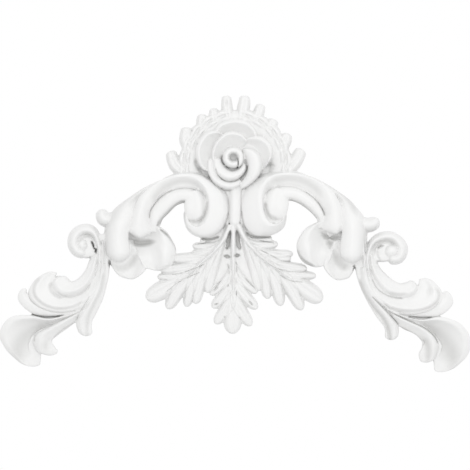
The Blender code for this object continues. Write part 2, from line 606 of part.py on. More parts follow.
def back_cutter():
    """A block behind the back plane, which trims the casting flat."""
    depth = 0.02
    bpy.ops.mesh.primitive_cube_add(size=1, location=(0, depth / 2, -0.04))
    cutter = bpy.context.object
    cutter.name = "back_cutter"
    cutter.scale = (WIDTH * 1.4, depth, WIDTH)
    bpy.ops.object.transform_apply(location=False, rotation=False, scale=True)
    cutter.hide_render = True
    cutter.display_type = "WIRE"
    return cutter


def make_applique():
    applique = bpy.data.objects.new("applique", joined_mesh("lobes", all_lobes()))
    bpy.context.scene.collection.objects.link(applique)
    melt = applique.modifiers.new("melt", "REMESH")
    melt.mode = "VOXEL"
    melt.voxel_size = MELT_SIZE
    graph = bpy.context.evaluated_depsgraph_get()
    melted = bpy.data.meshes.new_from_object(applique.evaluated_get(graph))
    triangles = without_bubbles(melted)
    applique.modifiers.remove(melt)
    applique.data = melted
    melted.name = "applique"
    for face in melted.polygons:
        face.use_smooth = True
    melted.materials.append(cast_resin())
    thin = applique.modifiers.new("thin", "DECIMATE")
    thin.ratio = TRIANGLES_BEFORE_TRIM / triangles
    trim = applique.modifiers.new("trim", "BOOLEAN")
    trim.operation = "DIFFERENCE"
    trim.object = back_cutter()
    return applique


def main():
    for old in list(bpy.data.objects):
        bpy.data.objects.remove(old)
    make_applique()


main()
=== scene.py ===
# A white cast ornamental applique: a rose in a wreath of laurel between two scrolled
# acanthus arms, over three drooping leaves. It is held by its flat back, at Y = 0.
import math

import bpy
import numpy as np
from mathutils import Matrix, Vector


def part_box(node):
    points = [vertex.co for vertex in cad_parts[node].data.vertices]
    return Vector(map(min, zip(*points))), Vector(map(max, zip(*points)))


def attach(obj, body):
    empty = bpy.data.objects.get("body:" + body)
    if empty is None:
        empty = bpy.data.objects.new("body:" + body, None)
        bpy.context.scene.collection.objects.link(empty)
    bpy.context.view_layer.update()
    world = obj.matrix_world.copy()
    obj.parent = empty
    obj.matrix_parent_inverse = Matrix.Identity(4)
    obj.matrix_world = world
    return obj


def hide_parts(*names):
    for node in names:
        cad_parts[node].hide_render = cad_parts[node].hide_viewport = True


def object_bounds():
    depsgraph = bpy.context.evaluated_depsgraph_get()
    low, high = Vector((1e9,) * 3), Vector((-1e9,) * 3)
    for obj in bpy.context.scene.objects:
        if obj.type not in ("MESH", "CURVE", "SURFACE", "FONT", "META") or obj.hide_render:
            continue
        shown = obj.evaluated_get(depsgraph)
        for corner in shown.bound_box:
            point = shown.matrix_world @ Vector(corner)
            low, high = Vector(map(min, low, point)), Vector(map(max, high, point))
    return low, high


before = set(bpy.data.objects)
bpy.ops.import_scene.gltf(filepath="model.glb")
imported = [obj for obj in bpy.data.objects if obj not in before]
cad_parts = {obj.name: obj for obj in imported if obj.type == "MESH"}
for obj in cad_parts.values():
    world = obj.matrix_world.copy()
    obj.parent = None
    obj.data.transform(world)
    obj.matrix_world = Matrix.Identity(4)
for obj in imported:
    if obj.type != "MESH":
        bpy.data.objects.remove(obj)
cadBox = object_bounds()
scene = bpy.context.scene
mm = 0.001
print("frame loaded with", len(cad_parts), "node")


# The front is drawn on a layout grid of small squares. A place is (column, row): columns
# count from the left end, rows count down from above the top, and widths are in squares
# too. Heights stand off the back and are in millimetres.
layout = dict(columns=470, middleColumn=235, middleRow=160)
lowCorner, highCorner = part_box("applique")
square = (highCorner.x - lowCorner.x) / layout["columns"]
middleX = (highCorner.x + lowCorner.x) / 2


def xOf(column):
    return middleX + (column - layout["middleColumn"]) * square


def zOf(row):
    return (layout["middleRow"] - row) * square


cast = dict(
    meltSize=0.4 * mm,        # finest detail that survives where lobes flow together
    sectionPoints=33,         # points across a lobe
    stationStep=1.2,          # squares between its cross-sections
    endSteps=10,
    lineSteps=24,
    longestTip=0.9,           # share of a lobe's length
    narrowestTop=0.4,         # share of a lobe's width that its leaning walls leave
    softening=2,              # rounds of smoothing over the melted casting
    softenFactor=0.5,
    mostTriangles=190000,
    sharpAngle=55,
    flatBack=0.98)            # faces that look this much backwards are shaded flat


# A socket of a node tree, so that sums on sockets can be written as Python. node()
# makes any other node: its kind, its settings first, then the values of its sockets.
class Wire:
    def __init__(self, tree, socket=None):
        self.tree, self.socket = tree, socket

    def node(self, kind, settings=None, sockets=None, output=0):
        made = self.tree.nodes.new(kind)
        for name, value in (settings or {}).items():
            setattr(made, name, value)
        for name, value in (sockets or {}).items():
            if isinstance(value, Wire):
                self.tree.links.new(value.socket, made.inputs[name])
            else:
                made.inputs[name].default_value = value
        return Wire(self.tree, made.outputs[output])

    def maths(self, operation, first, second):
        return self.node("ShaderNodeMath", {"operation": operation}, {0: first, 1: second})

    def __add__(self, other):
        return self.maths("ADD", self, other)

    def __radd__(self, other):
        return self.maths("ADD", other, self)

    def __sub__(self, other):
        return self.maths("SUBTRACT", self, other)

    def __rsub__(self, other):
        return self.maths("SUBTRACT", other, self)

    def __mul__(self, other):
        return self.maths("MULTIPLY", self, other)

    def __rmul__(self, other):
        return self.maths("MULTIPLY", other, self)

    def __truediv__(self, other):
        return self.maths("DIVIDE", self, other)

    def __rtruediv__(self, other):
        return self.maths("DIVIDE", other, self)

    def mixed(self, first, second):
        # a colour between two others, with this as the share of the second
        return self.node("ShaderNodeMix", {"data_type": "RGBA"}, {0: self, 6: first, 7: second}, output=2)

    def spread(self, low, high, toLow=0, toHigh=1):
        # this, moved smoothly from one range to another and held at its ends
        return self.node(
            "ShaderNodeMapRange", {"interpolation_type": "SMOOTHSTEP"},
            {"Value": self, "From Min": low, "From Max": high, "To Min": toLow, "To Max": toHigh})


def smoothAt(values, shares):
    # a smooth curve through evenly spaced values, read at shares from 0 to 1
    knots = np.array(values, float).reshape(len(values), -1)
    if len(knots) == 1:
        return np.repeat(knots, len(shares), axis=0)
    knots = np.vstack([2 * knots[0] - knots[1], knots, 2 * knots[-1] - knots[-2]])
    place = np.asarray(shares) * (len(values) - 1)
    span = np.minimum(place.astype(int), len(values) - 2)
    part = (place - span)[:, None]
    a, b, c, d = (knots[span + i] for i in range(4))
    return 0.5 * (
        2 * b
        + (c - a) * part
        + (2 * a - 5 * b + 4 * c - d) * part**2
        + (3 * b - a - 3 * c + d) * part**3)


def between(first, second):
    # two edges of a lobe; places in the same order face each other
    shares = np.linspace(0, 1, cast["lineSteps"] * (len(first) - 1) + 1)
    return smoothAt(first, shares), smoothAt(second, shares)


def ribbon(spine, half, mirror=1):
    # two edges from a middle line and half widths; the first is on the walker's right,
    # or on the left if mirror is -1
    shares = np.linspace(0, 1, cast["lineSteps"] * (len(spine) - 1) + 1)
    path = smoothAt(spine, shares)
    heading = np.gradient(path, axis=0)
    heading /= np.linalg.norm(heading, axis=1)[:, None]
    reach = np.stack([heading[:, 1], -heading[:, 0]], axis=1) * smoothAt(half, shares)
    return path - mirror * reach, path + mirror * reach


def endFade(distance, length):
    # 1 in the body of a lobe, falling to 0 at its end on a quarter of an ellipse
    if length <= 0:
        return np.ones_like(distance)
    inward = np.clip(1 - distance / length, 0, 1)
    return np.sqrt(1 - inward**2)


def stationsOf(length, root, tip):
    # distances from the root where sections are cut, closer at round ends
    turn = np.linspace(0, math.pi / 2, cast["endSteps"] + 1)
    nearZero = 0.02
    steps = max(2, math.ceil((length - root - tip) / cast["stationStep"]))
    parts = [
        root * (1 - np.cos(turn)),
        np.linspace(root, length - tip, steps + 1),
        length - tip * (1 - np.sin(turn))]
    places = np.unique(np.round(np.concatenate(parts), 4))
    return np.clip(places, nearZero if root else 0, length - nearZero)


# Cross-sections: shares of the crest at even steps from the first edge to the second.
# 0 is the rim, where the wall starts, and 1 is the crest.
rollShape = (0, 0.66, 0.92, 1, 0.92, 0.66, 0)
veinedShape = (0, 0.7, 0.92, 0.76, 0.92, 0.7, 0)
flatShape = (0.9, 1, 1, 1, 1, 1, 0.9)
coveShape = (1, 0.97, 0.84, 0.68, 0.52, 0.38, 0.22)
valleyShape = (0.45, 0.7, 0.66, 0.54, 0.42, 0.34, 0.3)
cheekShape = (0.2, 0.7, 0.86, 0.93, 0.97, 1, 1)
slopeShape = (0.05, 0.36, 0.56, 0.72, 0.88, 1, 0.92)
eyeShape = (0.55, 0.8, 0.9, 0.94, 1, 0.9, 0.5)
fluteShape = (0.45, 0.62, 0.7, 0.86, 1, 0.8, 0.4)
keelShape = (0.5, 0.84, 1, 0.86, 0.62, 0.4, 0.22)
shellShape = (0.45, 0.88, 1, 0.66, 0.46, 0.55, 0.8)
fanShape = (0.85, 1, 0.66, 0.34, 0.18, 0.1, 0.06)
dishShape = (0.5, 0.62, 0.4, 0.3, 0.42, 0.75, 0.95)
petalShape = (0.7, 1, 0.72, 0.46, 0.28, 0.14, 0)
shellRootShape = (0.8, 1, 0.7, 0.34, 0.1, 0.03, 0)
bandShape = (0.4, 0.78, 0.95, 1, 0.97, 0.88, 0.55)
bulbShape = (0, 0.62, 0.9, 1, 0.98, 0.86, 0.62)
ledgeShape = (0.55, 0.85, 1, 1, 0.95, 0.85, 0.6)
ringShape = (0.35, 0.86, 1, 0.97, 0.9, 0.78, 0.55)
tongueShape = (0.62, 0.86, 1, 0.98, 0.86, 0.66, 0.35)
# how far the wall under each edge spreads, as a share of its height
evenLean = (0.15, 0.15)
noLean = (0, 0)
firstFlush = (0, 0.15)
secondFlush = (0.15, 0)
outerSlope = (0.12, 0)


def lobe(edges, crest, rim, across=rollShape, tip=None, root=0, lean=evenLean, blunt=0.5):
    # one closed lobe between two edges, as (points, faces); crest and rim run from root
    # to tip, which are as long and as round as root and tip say
    middle, reach = (edges[0] + edges[1]) / 2, (edges[1] - edges[0]) / 2
    run = np.concatenate([[0], np.cumsum(np.linalg.norm(np.diff(middle, axis=0), axis=1))])
    length = run[-1]
    tip = min(np.linalg.norm(reach[-1]) if tip is None else tip, cast["longestTip"] * length)
    places = stationsOf(length, root, tip)
    shares = places / length
    fade = endFade(places, root) * endFade(length - places, tip)

    def at(values, where):
        return np.stack([np.interp(where, run, values[:, k]) for k in range(2)], axis=1)

    low, high = (smoothAt(np.atleast_1d(heights), shares)[:, 0] for heights in (rim, crest))
    high = low + (high - low) * fade**blunt
    foot = [at(middle, places) + sign * at(reach, places) * fade[:, None] for sign in (-1, 1)]
    # the tops of the walls stand in from their feet, at the round ends too
    spread = low * mm / square
    ends = [min(lean[0] * spread[0], root / 2), length - min(lean[0] * spread[-1], tip / 2)]
    inner = np.interp(places, [0, length], ends)
    half = at(reach, inner)
    wide = np.linalg.norm(half, axis=1)[:, None]
    half /= np.maximum(wide, 1e-6)
    least = cast["narrowestTop"] * wide
    tops = [
        at(middle, inner) + sign * half * fade[:, None] * np.maximum(wide - share * spread[:, None], least)
        for sign, share in zip((-1, 1), lean)]
    side = (1 - np.cos(np.linspace(0, math.pi, cast["sectionPoints"]))) / 2
    shapes = np.stack([smoothAt(section, side)[:, 0] for section in np.atleast_2d(across)])
    shape = smoothAt(shapes, shares).reshape(len(shares), -1)
    over = tops[0][:, None, :] + (tops[1] - tops[0])[:, None, :] * side[None, :, None]
    heights = low[:, None] + (high - low)[:, None] * shape
    return ringMesh(over, heights * mm, foot)


def ringMesh(over, heights, foot):
    # joins the sections into a closed body that stands on the plane Y = 0
    rows, columns = heights.shape
    ring = columns + 2
    places = np.empty((rows, ring, 2))
    depth = np.zeros((rows, ring))
    places[:, 1:-1], depth[:, 1:-1] = over, -heights
    places[:, 0], places[:, -1] = foot
    points = np.stack([xOf(places[..., 0]), depth, zOf(places[..., 1])], axis=-1)
    index = np.arange(rows * ring).reshape(rows, ring)
    after = np.roll(index, -1, axis=1)
    walls = np.stack([index[:-1], after[:-1], after[1:], index[1:]], axis=2).reshape(-1, 4)
    return points.reshape(-1, 3), [*map(tuple, walls), tuple(index[0][::-1]), tuple(index[-1])]


# Lobes of the scrolled arms and tails, each with its two edges on the left side and on
# the right side, from root to tip. The first edge is the one named in the comment.

# over the scroll and down the arm to a hooked tongue: outer edge
cove = dict(
    left=(
        [(202, 226), (208, 217), (210, 206), (208.5, 195), (203, 184), (194, 176), (182, 174), (169, 177),
         (158, 182), (147, 190), (139, 198), (134, 209), (130, 220), (128, 230), (134, 238)],
        [(195, 225), (200, 219), (203, 208), (204, 198), (200, 191), (191, 189), (181, 189), (170, 192),
         (161, 198), (154, 205), (150, 212), (149, 219), (150, 226), (151, 232), (147, 238)]),
    right=(
        [(262, 210), (261, 197), (264, 185), (271, 176), (284, 173), (298, 174), (311, 178), (321, 183),
         (331, 190), (337, 199), (342, 209), (344, 218), (344, 226), (341, 234)],
        [(266, 210), (266, 197), (269, 190), (276, 187), (284, 186), (295, 187), (305, 191), (314, 198),
         (320, 206), (324, 214), (323, 220), (321, 225), (323, 230), (329, 234)]),
    crest=(13, 14.5, 15, 15, 14.5, 15, 15.5, 15), rim=(7, 7, 7, 7, 7, 7, 6.5, 6.5), tip=8, lean=noLean,
    blunt=0.35, across=(coveShape, coveShape, coveShape, coveShape, tongueShape, tongueShape))
# along the top of the arm to the bulb: outer edge
bulb = dict(
    left=(
        [(172, 176), (158, 181), (143, 188), (128, 198), (115, 208), (107, 219), (104, 231), (103, 243),
         (104, 253), (109, 263)],
        [(168, 182), (159, 185), (148, 192), (141, 201), (136, 211), (132, 221), (129, 231), (129, 242),
         (130, 252), (127, 263)]),
    right=(
        [(300, 173), (315, 178), (330, 186), (344, 196), (356, 207), (364, 217), (367, 229), (367, 241),
         (366, 253), (361, 264)],
        [(307, 180), (316, 184), (327, 190.5), (334.5, 199.5), (339.5, 210), (341, 220), (341.5, 232),
         (340, 243), (340, 254), (344, 264)]),
    crest=(12, 13, 14, 15.5, 17.5, 18, 17.5), rim=(6, 6, 6, 5, 5, 5, 5), tip=9, lean=secondFlush,
    across=(valleyShape, valleyShape, valleyShape, bulbShape, bulbShape, bulbShape))
# the lower band of the arm, into the eye: upper edge
innerBand = dict(
    left=(
        [(150, 232), (148, 222), (149, 212), (156, 201), (167, 191.5), (180, 187.5), (191, 188), (200, 192)],
        [(158, 232), (160, 226), (163, 219), (169, 213), (176, 206), (184, 203), (188, 205), (190, 208)]),
    right=(
        [(323, 228), (325.5, 217), (321, 206), (314, 197), (303, 189), (290, 185), (278, 186.5), (268, 192)],
        [(316, 228), (317, 221), (312, 214), (305, 208), (297, 203), (289, 201), (284, 204), (280, 208)]),
    crest=(9, 11.5, 12, 12.5, 12.5, 13, 13.5), rim=6, tip=4, across=bandShape, lean=firstFlush)
# round the outside of the scroll: outer edge
cheek = dict(
    left=(
        [(163, 178), (176, 173), (190, 171), (202, 174), (212, 180), (221, 187), (227, 196), (229, 210),
         (226, 223), (219, 233), (208, 238), (197, 237), (188, 231), (184, 222), (183, 212)],
        [(165, 181), (177, 178), (189, 177), (197, 179), (202, 184), (206, 191), (209, 200), (209, 211),
         (207, 218), (203, 224), (198, 226.5), (194, 226), (190, 223), (187, 218), (186, 211)]),
    right=(
        [(305, 174), (290, 170), (276, 171), (264, 174), (254, 180), (245.5, 187), (241, 197), (240.5, 210),
         (242, 222), (247, 231), (255, 236), (265, 236), (275, 234), (284, 227), (287, 215)],
        [(300, 178), (290, 176), (278, 176), (270, 178), (265, 184), (262, 192), (262, 201), (263, 210),
         (266, 218), (270, 222.5), (274, 224), (279, 223), (282, 220), (284, 215), (285, 210)]),
    crest=(12, 15, 15, 15, 15, 15, 14.5, 14, 13, 12, 11), rim=(9, 9, 9, 9, 9, 9, 9, 8, 7, 6, 6), tip=3,
    across=dict(left=cheekShape, right=slopeShape), lean=outerSlope)
# the shell at the end of the inner band: edge beside the opening
shell = dict(
    left=(
        [(157, 225), (166, 231), (172, 240), (176, 250), (174, 262), (166, 271)],
        [(147, 226), (140, 234), (132, 247), (138, 257), (143, 266), (150, 271)]),
    right=(
        [(317, 222), (307, 227), (300, 235), (296, 246), (300, 259), (310, 268)],
        [(328, 224), (334, 231), (337, 243), (333, 252), (329, 262), (324, 267)]),
    crest=(10.5, 11, 11.5, 11, 9), rim=3.5, tip=5,
    across=(shellRootShape, shellRootShape, shellShape, shellShape))
# the lobe under the bulb: edge beside the tail
underLobe = dict(
    left=(
        [(108, 240), (108, 252), (110, 263), (116, 273), (124, 280)],
        [(134, 240), (137, 249), (142, 258), (147, 266), (139, 279)]),
    right=(
        [(357, 240), (357, 252), (356, 263), (351, 275), (345, 281)],
        [(333, 240), (329, 249), (325, 258), (323, 266), (331, 280)]),
    crest=(7, 8, 9, 9, 8), rim=3.5, across=dishShape, tip=6)
# upper flute of the tail, ending in an upturned tongue: upper edge
upperFlute = dict(
    left=(
        [(94, 250), (89, 260), (86, 268), (82, 274), (77, 279), (72, 281), (69, 279), (67, 277), (66, 275)],
        [(100, 250), (99, 261), (97, 272), (92, 283), (82, 293), (69, 297), (57, 296), (51, 286), (52, 276)]),
    right=(
        [(375, 254), (378, 264), (382, 270), (387, 275), (393, 280), (400, 283), (405, 282), (408, 281),
         (410, 279)],
        [(367, 254), (368, 265), (371, 276), (378, 288), (388, 296), (400, 299), (412, 297), (418, 290),
         (416, 282)]),
    crest=(11, 11.5, 11.5, 11.5, 11, 9.5), rim=5, across=fluteShape, tip=4)
# lower flute of the tail, wrapped round the upper one: upper edge
lowerFlute = dict(
    left=(
        [(97, 262), (95, 273), (88, 283), (78, 291), (66, 294), (57, 291), (54, 284), (55, 277), (58, 272)],
        [(106, 264), (103, 284), (93, 302), (76, 312), (58, 314), (40, 310), (28, 297), (34, 281),
         (48, 271)]),
    right=(
        [(368, 266), (373, 276), (381, 286), (391, 293), (402, 296), (411, 295), (416, 290), (418, 284),
         (419, 278)],
        [(360, 268), (364, 288), (375, 303), (392, 312), (410, 316), (428, 314), (442, 305), (441, 291),
         (430, 278)]),
    crest=(10, 10.5, 10.5, 10.5, 10.5, 10, 8), rim=4, across=fluteShape, tip=3, lean=noLean)
# the leaf behind the lower flute: upper edge
backLeaf = dict(
    left=(
        [(84, 304), (62, 308), (44, 306), (33, 300), (27, 294), (27, 287)],
        [(84, 312), (62, 315), (46, 315.5), (31, 312.5), (19, 301), (19, 290)]),
    right=(
        [(388, 305), (408, 310), (426, 308), (437, 302), (442, 296), (443, 290)],
        [(388, 313), (408, 315.5), (424, 316.5), (440, 315), (452, 304), (450, 292)]),
    crest=8, rim=5, tip=4, across=ledgeShape, lean=noLean)
# the fan at the end of the tail: upper and outer edge
endFan = dict(
    left=(
        [(85, 309), (66, 315), (48, 318.3), (30, 315), (10, 317.5), (0, 333), (7, 350), (24, 366)],
        [(85, 313), (68, 320), (55, 326), (43, 332), (36, 339), (37, 346), (41, 354), (40, 367)]),
    right=(
        [(385, 309), (404, 316), (421, 319.3), (440, 316.8), (459, 323), (470, 339), (466, 356), (450, 371)],
        [(385, 313), (402, 320), (416, 326), (429, 333), (436, 343), (434, 351), (433, 361), (434, 373)]),
    crest=(8, 9.5, 10.5, 11, 11, 10, 8, 6), rim=(3, 3, 3, 3, 2.5, 2.5), tip=4, lean=firstFlush,
    across=(ledgeShape, fanShape, fanShape, fanShape))
# the heel under the fan: upper edge
heel = dict(
    left=(
        [(85, 308), (72, 314), (60, 320), (48, 326), (37, 332), (33.5, 340), (37, 350), (43, 355)],
        [(88, 312), (78, 320), (68, 328), (58, 335), (52, 341), (55, 347), (58, 351), (55, 356)]),
    right=(
        [(385, 305), (398, 314), (410, 319), (421, 324), (432, 332), (437.5, 343), (436, 353), (432, 362)],
        [(382, 311), (392, 321), (403, 329), (414, 334), (421, 341), (421, 348), (418, 354), (420, 363)]),
    crest=(9, 9.5, 9.5, 9, 8, 6), rim=3, across=keelShape, tip=3, lean=firstFlush)
# the spur on the inside of the tail: edge beside the heel
spur = dict(
    left=(
        [(103, 266), (98, 284), (90, 299), (81, 312), (76, 323), (80, 336)],
        [(108, 266), (107, 284), (103, 299), (97, 312), (92, 323), (93, 336)]),
    right=(
        [(364, 268), (369, 284), (378, 300), (390, 314), (398, 327), (397, 340)],
        [(357, 268), (359, 284), (366, 300), (376, 317), (384, 328), (384, 340)]),
    crest=(9.5, 10, 10, 9.5, 8, 6.5), rim=3, across=keelShape, tip=5, lean=firstFlush)
bands = (
    cove, bulb, innerBand, cheek, shell, underLobe, upperFlute, lowerFlute, backLeaf, endFan, heel, spur)

# Lobes with a middle line on each side and half widths along it.
ribbons = {
    "eye": dict(
        left=[(192, 191), (194, 200), (194.5, 211), (193, 222)],
        right=[(281, 189), (277, 199), (276, 209), (276, 221)],
        half=dict(left=(6, 9.8, 10, 7), right=(7, 11.5, 11.5, 8.5)), crest=(13, 14, 14, 12), rim=8,
        across=eyeShape, tip=7, lean=noLean),
    "knob": dict(
        left=[(114, 219), (104, 219), (101, 209)],
        right=[(358, 223), (369, 225), (379, 220)],
        half=(7, 7.5, 6), crest=(10, 10.5, 10.5), rim=4),
    "armWeb": dict(
        left=[(112, 228), (130, 214), (150, 203), (172, 190)],
        right=[(360, 226), (342, 212), (324, 199), (300, 184)],
        half=(8, 14, 13, 7), crest=(5, 5, 5, 5), rim=3, across=flatShape),
    "scrollFloor": dict(
        left=[(208, 182), (206, 205), (204, 230)], right=[(261, 182), (263, 205), (265, 229)],
        half=(14, 19, 15), crest=6.5, rim=5, across=flatShape, root=8, tip=10),
    "eyeFloor": dict(
        left=[(189, 218), (195, 222), (202, 222)], right=[(266, 206), (270, 218), (284, 220)],
        half=(5.5, 5.5, 5), crest=10.5, rim=9, across=flatShape, root=4),
    "hollowFloor": dict(
        left=[(130, 224), (138, 238), (146, 252)],
        right=[(342, 224), (335, 238), (326, 252)],
        half=(10, 12, 10), crest=2.5, rim=2, across=flatShape),
    "tailWeb": dict(
        left=[(104, 234), (104, 262), (97, 285), (80, 304)],
        right=[(361, 236), (360, 262), (369, 285), (386, 304)],
        half=(6, 6, 9, 10), crest=(7.5, 7, 5, 5), rim=2.5, across=flatShape),
    "tailRib": dict(
        left=[(103, 240), (103, 262), (99, 281), (91, 297), (80, 309)],
        right=[(363, 244), (364, 266), (369, 284), (378, 299), (390, 311)],
        half=(2.6, 2.8, 2.8, 2.6, 1.8), crest=(11, 11, 10.5, 10.5, 9.5), rim=6),
    "curlFloor": dict(
        left=[(80, 234), (84, 244), (94, 256)], right=[(395, 244), (384, 250), (367, 252)],
        half=(11, 12, 9), crest=9, rim=7, across=flatShape, root=8),
    "fanFloor": dict(
        left=[(84, 308), (62, 316), (44, 317), (31, 314.5)],
        right=[(386, 308), (408, 317), (426, 318.5), (440, 316)],
        half=(3, 4, 4, 3), crest=3.5, rim=2.5, across=flatShape, root=3),
    "curl": dict(
        left=[(95, 280), (99, 266), (100, 252), (97, 239), (91, 231), (82, 230.5), (75.5, 236), (74, 244),
              (78, 251), (87, 254)],
        right=[(372, 284), (368, 270), (367, 256), (372, 243), (381, 238), (391, 238), (399, 244), (401, 251),
               (397, 258), (387, 259)],
        half=(2.5, 3, 3.6, 4.4, 6, 6.5, 6.8, 6.8, 6.4, 5.4), crest=(8, 10.5, 11.5, 12.5, 12.5, 12.5, 12),
        rim=5, tip=5),
    "curlEye": dict(
        left=[(76, 244), (89, 246)], right=[(383, 252), (399, 250)],
        half=(9.5, 9.5), crest=13.2, rim=5, tip=8, root=8),
}


def forSide(value, side):
    # a setting is given for both sides at once, or for each side by name
    return value[side] if isinstance(value, dict) else value


def scrolls():
    for side, mirror in (("left", 1), ("right", -1)):
        for design in (*bands, *ribbons.values()):
            settings = {k: forSide(v, side) for k, v in design.items() if k not in ("left", "right")}
            half = settings.pop("half", None)
            edges = ribbon(design[side], half, mirror) if half else between(*design[side])
            yield lobe(edges, **settings)


# The drooping leaves. Each of the tips is (share of the rib where its leaflet starts,
# place of the tip, half width), for the two sides of the rib.
leaves = {
    "left": dict(
        rib=[(230, 225), (223, 240), (213, 252), (201, 263), (188, 274), (174, 283)], end=(146, 299),
        tips=[
            (0.20, (192, 246), 5), (0.28, (191, 253), 4.5), (0.34, (171, 259), 6.6), (0.52, (160, 270), 6),
            (0.70, (157, 277), 4.8),
            (0.20, (207, 293), 7.5), (0.36, (195, 304), 6.8), (0.52, (186, 307), 6), (0.66, (167, 309), 7.5)],
        rise=8.5),
    "right": dict(
        rib=[(238, 225), (245, 239), (256, 252), (269, 263), (283, 273), (297, 283)], end=(322, 301),
        tips=[
            (0.20, (278, 244), 5.6), (0.28, (293, 254), 5), (0.34, (291, 259), 5.5), (0.50, (307, 269), 6),
            (0.68, (316, 276), 5),
            (0.16, (259, 291), 7.5), (0.30, (268, 299), 6.6), (0.46, (281, 306), 7), (0.62, (302, 310), 7.5)],
        rise=8.5),
    "middle": dict(
        rib=[(233, 226), (233, 250), (233, 270), (233, 290), (233, 305)], end=(232, 334),
        tips=[
            (0.42, (210, 295), 5.5), (0.56, (212, 308), 6.4), (0.72, (215, 324), 6.8),
            (0.40, (257, 293), 5.5), (0.52, (257, 309), 6.4), (0.72, (251, 326), 6.8)],
        rise=7.5),
}
leaflets = dict(
    widths=(0.5, 1, 0.8),     # shares of the half width, from root to tip
    bend=0.36,                # how far a leaflet runs on along the rib before it turns out
    roundTip=1.3,             # half widths
    drop=2.5,                 # millimetres that it falls to its tip
    below=1,                  # millimetres that it lies below its rib
    rim=2.5)
endLeaflet = dict(half=(4, 8, 9.5, 7), drops=(0, 0, 1, 3), tip=8)
leafRib = dict(half=(4.6, 3.4, 2.3, 1.6), rootCrest=9, rises=(1.5, 1, 0), rim=4)
# the stem between the scrolls, and low floors behind the lobes: middle lines, half widths
stemDesign = dict(spine=[(235, 186), (235, 205), (234, 226)], half=(6.5, 6, 5), crest=(9.5, 10.5, 10), rim=6)
floorDesign = dict(crest=3.5, rim=2.5, root=6)
floors = [
    ([(184, 168), (235, 166), (286, 166)], (12, 20, 12)),
    ([(235, 176), (234, 220), (234, 245)], (16, 14, 12)),
    ([(234, 232), (234, 262), (234, 292)], (8, 25, 19)),
    ([(228, 230), (214, 238), (200, 242)], (6, 7, 5)),
    ([(241, 230), (256, 238), (272, 240)], (6, 7, 5)),
]
# what shows between the stem and the scrolls
gapFloors = dict(
    lines=[
        [(222, 182), (226.5, 196), (228, 210), (226, 226)],
        [(243, 182), (241, 196), (241, 210), (243, 226)]],
    half=(5, 4, 3, 3), crest=(8, 8, 7.5, 6), rim=3.5)


def leafletStart(rib, share):
    # where a leaflet leaves the rib, and the way the rib runs there
    nearby = 0.02
    root, ahead = smoothAt(rib, [share, share + nearby])
    return root, (ahead - root) / np.linalg.norm(ahead - root)


def leafletSpine(root, heading, tip):
    # root, middle and tip of a line that leaves the rib forwards and turns out
    tip = np.array(tip, float)
    bend = leaflets["bend"] * np.linalg.norm(tip - root)
    return [root, 0.25 * root + 0.5 * (root + heading * bend) + 0.25 * tip, tip]


def leaflet(root, heading, tip, half, rise):
    return lobe(
        ribbon(leafletSpine(root, heading, tip), tuple(half * share for share in leaflets["widths"])),
        crest=(rise, rise, rise - leaflets["drop"]), rim=leaflets["rim"], across=veinedShape,
        tip=half * leaflets["roundTip"])


def leaf(rib, end, tips, rise):
    for share, tip, half in tips:
        yield leaflet(*leafletStart(rib, share), tip, half, rise - leaflets["below"])
    base, before = np.array(rib[-1], float), np.array(rib[-2], float)
    spine = [before, base, 0.5 * (base + np.array(end)), np.array(end, float)]
    yield lobe(ribbon(spine, endLeaflet["half"]), crest=tuple(rise - drop for drop in endLeaflet["drops"]),
               rim=leaflets["rim"], across=veinedShape, tip=endLeaflet["tip"])
    yield lobe(ribbon(rib, leafRib["half"]), rim=leafRib["rim"],
               crest=(leafRib["rootCrest"], *(rise + more for more in leafRib["rises"])))


def stem():
    yield lobe(ribbon(stemDesign["spine"], stemDesign["half"]), crest=stemDesign["crest"],
               rim=stemDesign["rim"], across=ledgeShape, lean=noLean)
    for spine, half in floors:
        yield lobe(ribbon(spine, half), across=flatShape, **floorDesign)
    for spine in gapFloors["lines"]:
        yield lobe(ribbon(spine, gapFloors["half"]), crest=gapFloors["crest"], rim=gapFloors["rim"],
                   across=flatShape)


